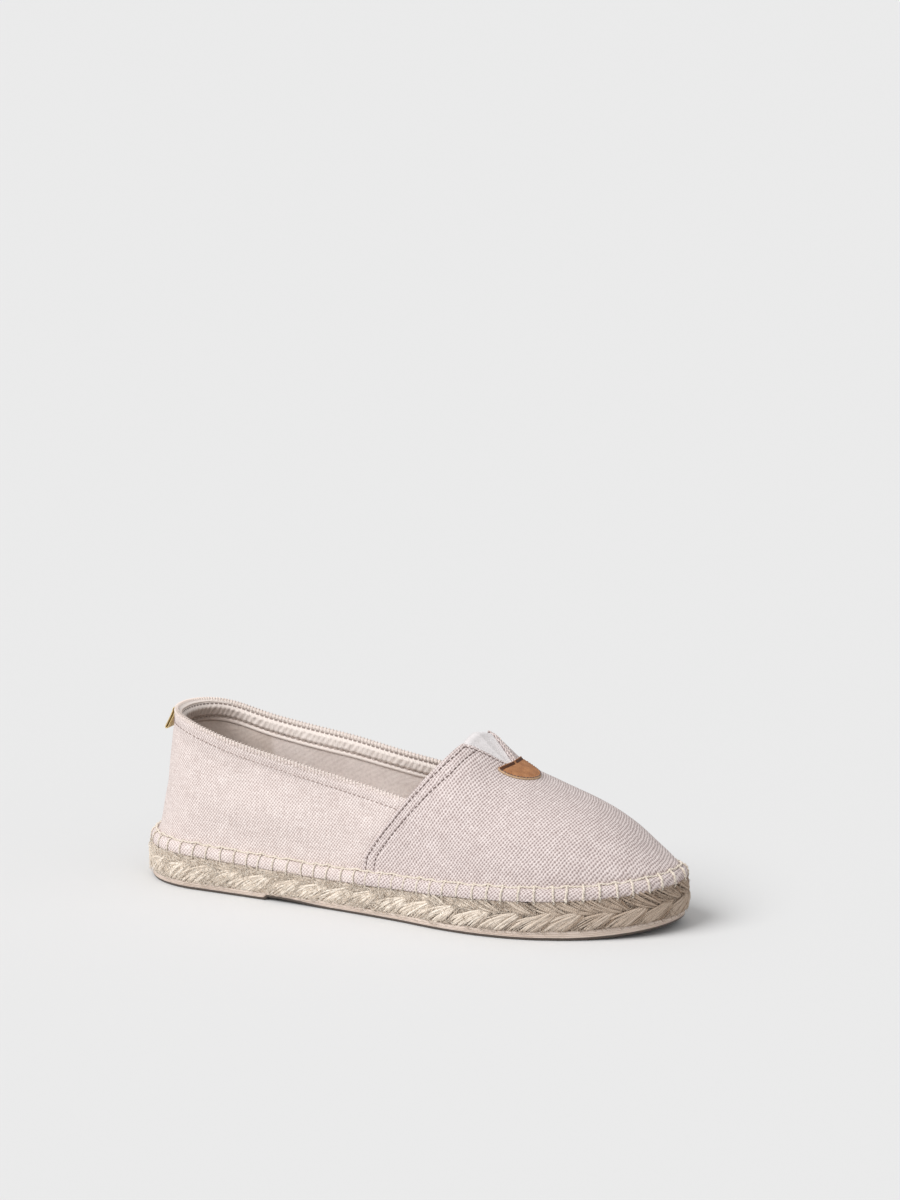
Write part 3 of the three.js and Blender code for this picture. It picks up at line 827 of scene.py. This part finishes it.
def vamp_half(side):
    """Points of one half of the vamp on the last, before its cloth is lifted. Every row runs from the
    raked seam to the tip by the same shares of its length."""
    rows = vamp_rear(np.concatenate([np.zeros(len(hem_fall)), vamp_share]), side)
    start = inset(rows, SEAM_INSET)[:, :1]
    swing = FIRST_SWING + (np.pi - FIRST_SWING) * from_seam
    share = (np.cos(FIRST_SWING) - np.cos(swing)) / (np.cos(FIRST_SWING) + 1)
    turn = turn_of(start + (inset(np.array([np.pi]), SEAM_INSET)[0, 0] - start) * share, side)
    walls = turn[len(hem_fall):]
    return turn, wall(walls, vamp_share[:, None] * notch_angle(walls))


def vamp_cloth(side, turn, sheet, out):
    """One half of the vamp with its cloth lifted off the last, and its sheet map."""
    walls = turn[len(hem_fall):]
    from_rear = RAKE_SLOPE * (sheet[..., 0] - sheet[:, :1, 0])
    girth = lengths(sheet[::-1], 0)[::-1]
    open_v = 1 - smooth(sheet[..., 0], NOTCH_END - 1.5, NOTCH_END + 1.0)
    lift = 0.42 - 0.55 * np.clip(1 - from_rear / 1.1, 0, 1) ** 2
    lift = lift - 0.55 * np.clip(1 - girth / 1.1, 0, 1) ** 2 * open_v
    for row in VAMP_ROWS:
        lift = lift - 0.30 * hump(from_rear, row, 0.55)
    lift = lift - 0.25 * hump(girth, V_ROW, 0.5) * open_v
    for start_at, end_at, width, deep in VAMP_CREASES:
        lift = lift - deep * trough(sheet, start_at, end_at, width)
    fade = smooth(rise_of(sheet[..., 0]), 2, 14)
    lift = (lift + ripple(sheet, walls)) * fade + 0.1 * (1 - fade)
    sheet = sheet + lift[..., None] * out
    hem = hem_rows(turn[0])
    hem = hem + 0.42 * (at_height(turn[:1], -1.0, 0.0) - at_height(turn[:1], 0.0, 0.0))
    half = np.concatenate([hem, sheet])
    crown = np.maximum(np.abs(half[-1:, :, 1] - foot_line(half[-1:, :, 0])), 0)
    across = lengths(half[::-1], 0)[::-1] + crown
    slant = 0.20 * side * across + 0.90 * (np.hypot(across, 30) - 30)
    uv = np.stack([half[..., 0] + slant, side * across], -1)
    return half, uv


VAMP_ROWS = [1.7, 5.4]  # stitch rows, in from the raked edge
V_ROW = 1.8  # and from the V's edge
VAMP_CREASES = [
    ((150, 40), (172, 28), 4.5, 0.55), ((168, 52), (190, 46), 5.0, 0.35), ((196, 40), (214, 30), 4.0, 0.45),
    ((222, 40), (236, 33), 3.0, 0.35), ((180, 30), (196, 26), 4.0, 0.35), ((140, 34), (150, 26), 3.4, 0.35),
]
turns_out, outside = vamp_half(-1)
turns_in, inside = vamp_half(1)
square_out, square_in = -squarely(outside), squarely(inside)
shut = smooth(outside[-1, :, :1], NOTCH_END - 0.5, NOTCH_END + 0.5)
ridge = unit(square_out[-1] + square_in[-1])
square_out[-1] += shut * (ridge - square_out[-1])
square_in[-1] += shut * (ridge - square_in[-1])
outside, outside_uv = vamp_cloth(-1, turns_out, outside, square_out)
inside, inside_uv = vamp_cloth(1, turns_in, inside, square_in)
sides = grid(*outside.shape[:2])
vamp = make(
    "canvas_vamp", np.concatenate([outside, inside]),
    [np.concatenate([sides[:, ::-1], sides + outside[..., 0].size])], vamp_canvas,
    uv=np.concatenate([outside_uv, inside_uv]), weld=0.03,
)
thicken(vamp, 0.9)

# ---- Lining --------------------------------------------------------------------------------------
# A thin cotton lining inside the canvas, glued to it, with a firmer piece round the heel, where its colour
# is painted darker as shade.

LINING_GAP = 0.9  # from the outside of the canvas
HEEL_PAD = 4.2
LINING_SHARES = np.linspace(0, 1, 40)


def inner_depth(points, turn):
    """How far inside the last's surface the lining lies: behind one cloth, or behind two at the lap,
    with a pad behind the heel."""
    pad = HEEL_PAD * np.exp(-((points[..., 0] / 17) ** 2)) * smooth(points[..., 2], 46, 70)
    return LINING_GAP + 0.75 * smooth(past_rake(points, turn), -4, -1) + pad


def lining_half(side):
    """Half of the lining, from the seam up to just under the edge of the canvas."""
    turn = side * np.linspace(0, np.pi - 0.03, 180)[None]
    x = inset(turn, SEAM_INSET)[..., 0]
    slope = np.clip((x - THROAT) / (CORNER - THROAT), 0, 1)
    height = collar_at(turn) + (CORNER_HEIGHT - collar_at(turn)) * slope
    edge = np.where(x >= CORNER, notch_angle(turn), angle_at(turn, height))
    edge = edge - 1.3 / np.maximum(rise_of(x), 1.3) * (x < NOTCH_END)
    turn = np.broadcast_to(turn, (len(LINING_SHARES), turn.shape[1]))
    sheet = wall(turn, LINING_SHARES[:, None] * edge)
    out = side * squarely(sheet)
    depth = inner_depth(sheet, turn) - drape(sheet, turn) * (sheet[..., 0] < QUARTER_END)
    return sheet - depth[..., None] * out


cotton = Finish("cotton_lining", Roughness=0.9, Specular_IOR_Level=0.15, Sheen_Weight=0.1)
u, v = cotton.sheet()
threads = (u * 1.7).wave() * (v * 1.7).wave()
from_heel = cotton.millimetres("X")
soft = cotton.noise(cotton.place(), 60, 4)
fleck = cotton.noise(cotton.place(), 900, 3, 0.6)
# painted shade: the lining is darker round the heel, up to about 49 mm from its back
heel_lining_shade = 1 - (from_heel + soft * 2).rise(47, 51)
colour = cotton.mix(soft.rise(0.3, 0.75), (0.98, 0.88, 0.83), (0.94, 0.83, 0.78))
colour = cotton.coats(
    colour,
    (heel_lining_shade * 0.60, (0.66, 0.555, 0.480)),
    # painted shade: darker still near the back of the heel
    ((from_heel + soft * 6).rise(12, 26, 0.7, 0.0), (0.36, 0.255, 0.19)),
    (fleck.rise(0.35, 0.60, 0.18, 0.0), (0.42, 0.33, 0.28)),
)
colour = cotton.mix(threads.rise(0.0, 0.35), cotton.mix(0.15, colour, (0.30, 0.23, 0.19)), colour)
cotton.set({"Base Color": colour, "Normal": cotton.bump(threads, 0.0002)})
rows = np.concatenate([lining_half(-1)[:, ::-1], lining_half(1)[:, 1:]], 1)
lining_uv = np.stack([np.broadcast_to(lengths(rows, 1)[:1], rows.shape[:2]), lengths(rows, 0)], -1)
shell("lining", rows, lining_uv, LINING, cotton)

# ---- Collar binding ------------------------------------------------------------------------------
# A cream tape sewn inside the collar's edge, folded along its lower side and held by two rows of
# scalloped stitches that pucker it. Short stitches go over the edge all round.

TAPE_WIDTH = 10.4
PUCKER = 2.8  # pitch of the scallops
SCALLOP_ROW = 7.7  # down from the collar's edge
tape_turns = round_heel(0.75, QUARTER_END, 186)
profile = np.linspace(0, 1, 41)
down = TAPE_WIDTH * profile[:, None]
turn = np.broadcast_to(tape_turns, (len(profile), len(tape_turns)))
face = wall(turn, angle_at(turn, collar_at(turn) - 0.15 - down))
out = -squarely(face)
tape_places = lengths(face, 1)[:1]
scallop = np.abs(np.sin(np.pi * tape_places / PUCKER))
uneven = tape_places + 0.5 * np.sin(tape_places / 4.1) + 0.3 * np.sin(tape_places / 1.9)
slanted = np.sin(2 * np.pi * uneven / PUCKER + 1.5 * down) + 0.25 * np.sin(tape_places / 2.3 - down)
body = 0.55 - 0.40 * hump(down, 1.9, 0.40)
roll = np.clip(hump(down, 5.0, 2.3) * 1.5, 0, 1) * smooth(down, 2.0, 3.2)
body = body + (0.95 + 0.26 * slanted) * roll
body = body - 0.95 * hump(down, SCALLOP_ROW + 0.5 * scallop, 0.45) + 0.45 * hump(down, 9.3, 1.1)
ends = np.clip(profile * 14, 0, 1) * np.clip((1 - profile) * 14, 0, 1)
body = np.maximum(body, 0.1) * ends[:, None] ** 0.5
inner_wall = inner_depth(face, turn) + 0.35 - drape(face, turn) * (face[..., 0] < QUARTER_END)
over_edge = smooth(down, 0.0, 1.8)
inner_wall = 1.2 + (inner_wall - 1.2) * over_edge
front = face - (inner_wall + body)[..., None] * out
back = face - (inner_wall - 0.15 - 0.9 * (1 - over_edge))[..., None] * out
ring = np.concatenate([front, back[::-1]])
tape_uv = np.stack([np.broadcast_to(tape_places, ring.shape[:2]),
                    np.broadcast_to(np.concatenate([down, down[::-1]]), ring.shape[:2])], -1)
tape_cloth = Finish("binding_tape", Roughness=0.62, Specular_IOR_Level=0.35, Sheen_Weight=0.15)
u, v = tape_cloth.sheet()
ribs = (u * 1.5).wave()
away = (v - 2.0).maths("ABSOLUTE")
dashes = away.rise(0.2, 0.5, 1.0, 0.0) * (u * (1 / 2.4)).wave().rise(0.35, 0.6)
# painted shade: a dark scalloped line along the stitched groove
groove_shade = v - SCALLOP_ROW - (u * (1 / PUCKER)).wave() * 0.5
groove_shade = groove_shade.maths("ABSOLUTE").rise(0.1, 0.5, 0.7, 0.0)
colour = tape_cloth.mix(ribs.rise(0.0, 0.6), (0.88, 0.77, 0.71), (0.97, 0.88, 0.82))
heel_shade = tape_cloth.millimetres("X").rise(14, 42, 0.85, 0.0) * v.rise(2.0, 4.5)
colour = tape_cloth.coats(
    colour,
    (groove_shade, (0.30, 0.21, 0.18)),
    (dashes * 0.8, (0.22, 0.15, 0.13)),
    # painted shade between the overcast stitches along the top edge
    (v.rise(0.2, 1.0, 0.15, 0.0), (0.30, 0.20, 0.15)),
    (heel_shade, (0.26, 0.175, 0.130)),
    # painted shadow under the tape's rolled lower edge
    (v.rise(TAPE_WIDTH - 0.30, TAPE_WIDTH - 0.1), (0.20, 0.14, 0.11)),
)
tape_cloth.set({"Base Color": colour, "Normal": tape_cloth.bump(ribs, 0.0002)})
caps = np.arange(ring.shape[0])[None] * ring.shape[1]
caps_end = caps[:, ::-1] + ring.shape[1] - 1
make("collar_tape", ring, [grid(*ring.shape[:2], round_rows=True), caps, caps_end],
     tape_cloth, uv=tape_uv, outward=True)

# ---- Elastic gore --------------------------------------------------------------------------------
# A panel of pale satin elastic with fine lengthwise ribs, sewn under the canvas on both sides of the V
# so that the vamp can stretch. Its rear edge is folded down.

GORE_FROM = 161.2
GORE_END = 187
GORE_TUCK = 3.5


def on_vamp(x, y):
    """A point of the vamp's surface above (x, y): the height goes with the arched section."""
    side = np.where(y < foot_line(x), -1, 1)
    turn = np.where(side < 0, turn_of(x, -1), turn_of(x, 1))
    foot = inset(turn, SEAM_INSET)
    share = np.clip(np.abs(y - foot_line(x)) / np.abs(foot[..., 1] - foot_line(x)), 0, 1)
    angle = np.arccos(share ** (WALL_FULL / 2))
    return np.stack([x, y, seam_height(x) + rise_of(x) * np.sin(angle)], -1)


steps = np.linspace(0, 1, 40)[:, None]
across = np.linspace(-1, 1, 49)[None]
x = GORE_FROM + (GORE_END - GORE_FROM) * steps + 0 * across
open_half = CORNER_HALF * np.clip((NOTCH_END - x) / (NOTCH_END - CORNER), 0, 1)
sheet = on_vamp(x, foot_line(x) + (open_half + GORE_TUCK) * across)
out = squarely(sheet)
out *= np.sign(out[..., 2:])
out_from_ridge = np.clip(np.abs(sheet[..., 1] - foot_line(x)) / np.maximum(open_half, 1), 0, 1)
sag = (0.8 * (1 - out_from_ridge) + 0.8 * np.sin(np.pi * out_from_ridge)) * open_half / CORNER_HALF
fold = 0.8 * np.clip(1 - (x - GORE_FROM) / 1.6, 0, 1) ** 2
sheet = sheet - (0.9 + sag + fold - 0.35 * hump(x, GORE_FROM + 2.2, 1.0))[..., None] * out
gore_uv = np.stack([x, (open_half + GORE_TUCK) * across], -1)
elastic = Finish("satin_elastic", Roughness=0.42, Specular_IOR_Level=0.45, Sheen_Weight=0.3)
_, v = elastic.sheet()
ribs = (v * 1.25).wave()
# partly painted sheen: where this noise is high the elastic is painted lighter, and it is also glossier
sheen_and_gloss_noise = elastic.noise(elastic.flat(), 0.25, 3)
colour = elastic.mix(ribs.rise(0.1, 0.8), (0.80, 0.740, 0.735), (0.90, 0.855, 0.855))
elastic.set({"Base Color": elastic.mix(sheen_and_gloss_noise.rise(0.4, 0.7) * 0.4, colour, (0.93, 0.90, 0.905))})
elastic.set({"Normal": elastic.bump(ribs, 0.00018), "Roughness": sheen_and_gloss_noise.rise(0.3, 0.7, 0.34, 0.5)})
shell("elastic_panel", sheet, gore_uv, 1.0, elastic, ["elastic_gore"])

# ---- Leather patch -------------------------------------------------------------------------------
# A half-round of tan leather, folded along its straight side and sewn over the point of the V with a
# row of small dark stitches inside its curved edge, which is cut raw and shows paler.

PATCH_FROM = 177.4
PATCH_LENGTH = 14.5
PATCH_HALF = 12.3
PATCH_BOW = 2.0  # how far the middle of its straight side lies in front of the ends
PATCH = 1.1


def on_patch(share, angle):
    """A spot of the half-round: share of the way out from the middle of its straight side."""
    bowed = PATCH_BOW * (1 - (share * np.cos(angle)) ** 2)
    x = PATCH_FROM - 0.7 + bowed + (PATCH_LENGTH - PATCH_BOW) * share * np.sin(angle)
    y = foot_line(PATCH_FROM) - PATCH_HALF * np.cos(angle) * share
    return on_vamp(x, y)


share = 1 - (1 - np.linspace(0, 1, 26)[:, None]) ** 1.5
angle = np.linspace(0, np.pi, 61)[None]
sheet = on_patch(share, angle + 0 * share)
flat = PATCH_LENGTH * share * np.sin(angle)
rim = PATCH_LENGTH * (1 - share)
up = np.array([0.25, 0.0, 0.97])
lift = 0.5 + 1.0 * np.clip(rim / 0.7, 0, 1) ** 0.5 - 0.28 * hump(rim, 1.5, 0.5)
lift = lift - 0.45 * hump(flat, 1.1, 0.45) + 0.35 * hump(flat, 0.2, 0.7)
sheet = sheet + lift[..., None] * up
patch_uv = np.stack([flat + 0 * rim, rim + 0 * flat], -1)
leather = Finish("tan_leather", Roughness=0.6, Specular_IOR_Level=0.35)
u, v = leather.sheet()
cells = {"Vector": leather.place(), "Scale": 1400}
grain = leather.node("ShaderNodeTexVoronoi", {"feature": "DISTANCE_TO_EDGE"}, cells)
nap = leather.noise(leather.place(), 260, 5, 0.65)
colour = leather.mix(nap.rise(0.3, 0.7), (0.355, 0.148, 0.060), (0.505, 0.235, 0.104))
middle = (leather.millimetres("Y") - foot_line(178)).maths("ABSOLUTE").rise(0.5, 1.0)
folded = u.rise(0.15, 0.4) * u.rise(1.3, 1.9, 1.0, 0.0) * middle
colour = leather.mix(folded * 0.95, colour, (0.085, 0.028, 0.012))
colour = leather.mix(v.rise(0.2, 0.55, 0.9, 0.0), colour, (0.60, 0.42, 0.26))
leather.set({"Base Color": colour, "Roughness": nap.rise(0.3, 0.7, 0.5, 0.72)})
leather.set({"Normal": leather.bump(grain.rise(0.0, 0.35) + nap, 0.00012)})
shell("patch", sheet, patch_uv, PATCH, leather, ["leather_patch"])

# ---- Heel tab ------------------------------------------------------------------------------------
# A doubled gold ribbon sewn to the back of the collar. It stands off and hangs down as a short flap.

TAB_WIDTH = 8.6
TAB_DROP = 12
back = wall(np.array([0.0]), angle_at(np.array([0.0]), collar_at(np.array([0.0]))))[0]
track = np.array([
    [-0.3, -2.4], [-0.9, -2.0], [-1.5, -2.6], [-1.9, -3.8], [-2.9, -6.0], [-4.3, -8.6], [-5.7, -11.2],
    [-5.6, -11.8], [-5.0, -11.4], [-3.6, -8.8], [-2.2, -6.2], [-1.4, -4.4], [-0.9, -3.2],
])
walk = np.linspace(0, len(track) - 1, 64)
path = np.stack([through(np.arange(len(track)), track[:, i])(walk) for i in (0, 1)], -1)
across = np.linspace(-1, 1, 21)
bow = 0.5 * (across[None] ** 2) * np.clip(-path[:, 1:2] / TAB_DROP, 0, 1) - 0.25 * np.sin(5 * across[None])
sheet = np.stack([
    back[0] + path[:, :1] + bow * 0.8,
    across[None] * TAB_WIDTH / 2 * (1 - 0.05 * path[:, 1:2] / TAB_DROP),
    back[2] + path[:, 1:2] + 0.35 * bow,
], -1)
ribbon_uv = np.stack([lengths(sheet, 0), across[None] * TAB_WIDTH / 2 + 0 * path[:, :1]], -1)
ribbon = Finish("gold_ribbon", Roughness=0.5, Metallic=0.15, Specular_IOR_Level=0.5)
u, v = ribbon.sheet()
ribs = (u * 1.4).wave()
edge = v.maths("ABSOLUTE").rise(3.9, 4.6)
colour = ribbon.mix(ribs.rise(0.1, 0.8), (0.46, 0.305, 0.100), (0.82, 0.61, 0.28))
colour = ribbon.mix(edge * 0.6, colour, (0.72, 0.58, 0.33))
ribbon.set({"Base Color": colour, "Normal": ribbon.bump(ribs, 0.0003)})
shell("ribbon_tab", sheet, ribbon_uv, 0.45, ribbon, ["heel_tab"])

# ---- Blanket stitch ------------------------------------------------------------------------------
# Cream two-ply twine that sews the upper to the braid by hand: a leg over the hem at every stitch, and
# a loop along the seam from each leg to the next.

TWINE = 0.46  # radius of the whole twine
PLY = 0.33  # and of each of its two plies


def plied(paths, radius, turns_per_mm):
    """Two plies wound round each other along k paths: each runs beside the path at half the radius,
    and turns with the length."""
    side, up = square_to(paths)
    phase = 2 * np.pi * turns_per_mm * lengths(paths, 1)[..., None]
    swing = 0.5 * radius * (np.cos(phase) * side + np.sin(phase) * up)
    return np.concatenate([paths + swing, paths - swing])


draw = np.random.default_rng(11)
leg_places = np.arange(STITCHES) * SEAM_LENGTH / STITCHES + draw.normal(0, 0.30, STITCHES)
leg_turns = np.interp(leg_places % SEAM_LENGTH, seam_places, seam_turns)[:, None]
leg_x = inset(leg_turns, SEAM_INSET)[..., 0]
s = np.linspace(0, 1, 17)[None]
fall = through([0, 0.08, 0.2, 0.5, 0.8, 1], [-0.7, 0.0, 1.0, 3.4, 6.1, 7.4])(s)
away = through([0, 0.08, 0.2, 0.5, 0.8, 1], [2.9, 2.5, 0.75, -0.12, -0.25, 1.2])(s)
raised = 0.45 * smooth(leg_x, 110, 225) * np.sin(np.pi * s) ** 0.5
tilt = draw.normal(0, 0.004, (STITCHES, 1)) * s
legs = at_height(leg_turns + tilt, away - raised, seam_at(leg_turns) - fall)
twine = Finish("cream_twine", Roughness=0.72, Specular_IOR_Level=0.25, Sheen_Weight=0.1)
along, _ = twine.sheet()
strand = twine.noise(twine.place(), 1600, 3)
colour = twine.mix(strand.rise(0.3, 0.7), (0.78, 0.67, 0.555), (0.97, 0.885, 0.785))
twine.set({"Base Color": colour, "Normal": twine.bump((along * 2.4).wave() + strand, 0.00015)})
stout = 0.80 + 0.45 * smooth(leg_x, 90, 225)  # pulled thin at the heel
paths = plied(legs, TWINE * stout[..., None], 0.30)
make_tubes("stitch_legs", paths, PLY * np.concatenate([stout] * 2), 6, twine)

run_turns, run_places = even_turns(0.62, SEAM_INSET)
run = between_stitches(run_turns)
wander = 0.25 * np.sin(run_places * 0.37) + 0.15 * np.sin(run_places * 1.13)
loops = at_height(run_turns, 2.45 - 0.15 * run, seam_at(run_turns) + 0.35 - 0.55 * run + wander)[None]
make_tubes("stitch_run", plied(loops, TWINE, 0.30), PLY, 6, twine)

# ---- Seam stitches -------------------------------------------------------------------------------
# Machine stitches: two dark rows beside each raked seam, a dark row beside the V's outer edge and a pale
# one beside its inner edge, a fainter row under the collar, pale overcast stitches on the collar's edge,
# and the patch's own.


def stitches(path, outward, pitch, share, radius):
    """One row of stitches along a path: paths of six points, each an arc whose ends go into the
    cloth. share is the part of the pitch that a stitch covers."""
    length = lengths(path, 0)
    starts = np.arange(0.0, length[-1] - pitch, pitch)[:, None]
    s = np.linspace(0, 1, 6)[None]
    at = starts + pitch * share * s
    centre, square = (np.stack([np.interp(at, length, part) for part in line.T], -1)
                      for line in (path, outward))
    arc = 0.1 + radius * 1.6 * (np.sin(np.pi * s) ** 0.6 - 0.75)
    return centre + arc[..., None] * square


def beside_seam(side, row):
    """A line on the vamp at a distance from its raked edge, with the directions square to it."""
    share = np.linspace(0.0, 0.985, 90)
    turn = turn_of(inset(vamp_rear(share, side), SEAM_INSET)[:, 0] + row / RAKE_SLOPE, side)
    near = turn_of(inset(turn, SEAM_INSET)[:, 0] + 0.5, side)
    angle = share * notch_angle(turn)
    line = wall(turn, angle)
    ahead = wall(near, angle) - line
    up = wall(turn, angle + 0.01) - line
    out = unit(side * np.cross(up, ahead))
    return line + 0.15 * out, out


def beside_v(side, row):
    """A line on the vamp at a distance from the edge of the V."""
    x = np.linspace(CORNER + 1.5, NOTCH_END - 2.0, 40)
    half = CORNER_HALF * (NOTCH_END - x) / (NOTCH_END - CORNER) + row * 1.25
    line = on_vamp(x, foot_line(x) + side * half)
    tilt = on_vamp(x, foot_line(x) + side * (half + 0.5)) - line
    ahead = on_vamp(x + 0.5, foot_line(x) + side * half) - line
    out = unit(np.cross(ahead, tilt) * side)
    return line + 0.25 * out, out


def below_collar(fall, depth):
    """A line round the quarters at a fall below the collar's edge."""
    turn = round_heel(1.0, 139, 139)
    angle = angle_at(turn, collar_at(turn) - fall)
    line = wall(turn, angle)
    out = unit(np.cross(wall(turn, angle + 0.01) - line, wall(turn + 0.002, angle) - line))
    return line + depth * out, out


threads = {}
for tone, low, high in (
    ("dark", (0.09, 0.060, 0.055), (0.24, 0.17, 0.155)),
    ("pale", (0.72, 0.61, 0.55), (0.92, 0.83, 0.77)),
    ("mid", (0.27, 0.20, 0.18), (0.43, 0.34, 0.31)),
):
    thread = Finish("seam_thread_" + tone, Roughness=0.8, Specular_IOR_Level=0.2)
    thread.set({"Base Color": thread.mix(thread.noise(thread.place(), 2500, 2), low, high)})
    threads[tone] = thread


def sew(name, rows, radius, tone):
    """A piece of stitches in one of the threads."""
    make_tubes(name, rows, radius, 5, threads[tone])


rows = [stitches(*beside_seam(side, row), 2.5, 0.68, 0.22) for side in (-1, 1) for row in VAMP_ROWS]
rows += [stitches(*beside_v(-1, V_ROW), 2.2, 0.70, 0.18)]
sew("vamp_stitches", np.concatenate(rows), 0.21, "dark")
sew("v_stitches", stitches(*beside_v(1, V_ROW), 2.2, 0.60, 0.22), 0.22, "pale")
sew("collar_stitches", stitches(*below_collar(COLLAR_ROW, -0.16), 2.4, 0.55, 0.16), 0.18, "mid")

# Overcast stitches: short arcs from the outside of the collar over its edge to the tape.
turn = round_heel(1.75, 138, 138)[:, None]
s = np.linspace(0, 1, 7)[None]
fall = through([0, 0.35, 0.6, 1], [2.4, 0.0, -0.05, 1.2])(s)
depth = through([0, 0.15, 0.35, 0.6, 1], [0.35, -0.05, 0.1, 1.3, 1.8])(s)
where = turn + 0.010 * s


def under_collar(turn, drop):
    """A point of the quarters at a drop below the collar's edge."""
    return wall(turn, angle_at(turn, collar_at(turn) - drop))


line = under_collar(where, np.maximum(fall, 0))
near = under_collar(where + 0.002, np.maximum(fall, 0))
out = unit(np.cross(line - under_collar(where, 3.0), near - line))
line = line - depth[..., None] * out - np.minimum(fall, 0)[..., None] * np.array([0, 0, 1.0])
sew("edge_stitches", line, 0.33, "pale")

# A row of small stitches inside the curved edge of the patch.
angle = np.linspace(0.10, np.pi - 0.10, 140)
line = on_patch(0.965 + 0 * angle, angle) + 1.30 * up
sew("patch_stitches", stitches(line, np.broadcast_to(up, line.shape), 1.5, 0.6, 0.17), 0.20, "dark")

# ---- Floor, light and camera ---------------------------------------------------------------------
# A plain pale floor, white light from all round and two far lamps, and a long lens on the outer side.

ground = bpy.data.meshes.new("floor")
ground.from_pydata([(-9, -5, 0), (9, -5, 0), (9, 20, 0), (-9, 20, 0)], [], [(0, 1, 2, 3)])
floor = bpy.data.objects.new("floor", ground)
bpy.context.scene.collection.objects.link(floor)
paper = Finish("pale_floor", Roughness=0.95, Specular_IOR_Level=0.0)
paper.set({"Base Color": (0.735, 0.735, 0.735)})
ground.materials.append(paper.material)

world = bpy.data.worlds.new("studio")
world.use_nodes = True
sky = world.node_tree.nodes["Background"].inputs
sky["Color"].default_value, sky["Strength"].default_value = (1.0, 1.0, 1.0, 1.0), 0.42
bpy.context.scene.world = world
bpy.context.scene.view_settings.view_transform = "Standard"


def lamp(name, strength, spread, direction):
    """A far lamp with a wide disc, so its light is the same all over the floor and its shadow soft."""
    data = bpy.data.lights.new(name, "SUN")
    data.energy, data.angle = strength, np.radians(spread)
    light = bpy.data.objects.new(name, data)
    light.rotation_mode = "QUATERNION"
    light.rotation_quaternion = Vector(direction).to_track_quat("Z", "Y")
    bpy.context.scene.collection.objects.link(light)


lamp("key", 2.45, 40, (-0.50, -0.75, 0.90))
lamp("fill", 0.7, 120, (0.7, -0.5, 0.8))

data = bpy.data.cameras.new("camera")
data.lens, data.sensor_width = 130.2, 36
camera = bpy.data.objects.new("camera", data)
camera.location = (0.001 * ORIGIN[0] + 0.9420, 0.001 * ORIGIN[1] - 1.70273, 0.53836)
camera.rotation_euler = np.radians([78, 0, 25])
bpy.context.scene.collection.objects.link(camera)
bpy.context.scene.camera = camera
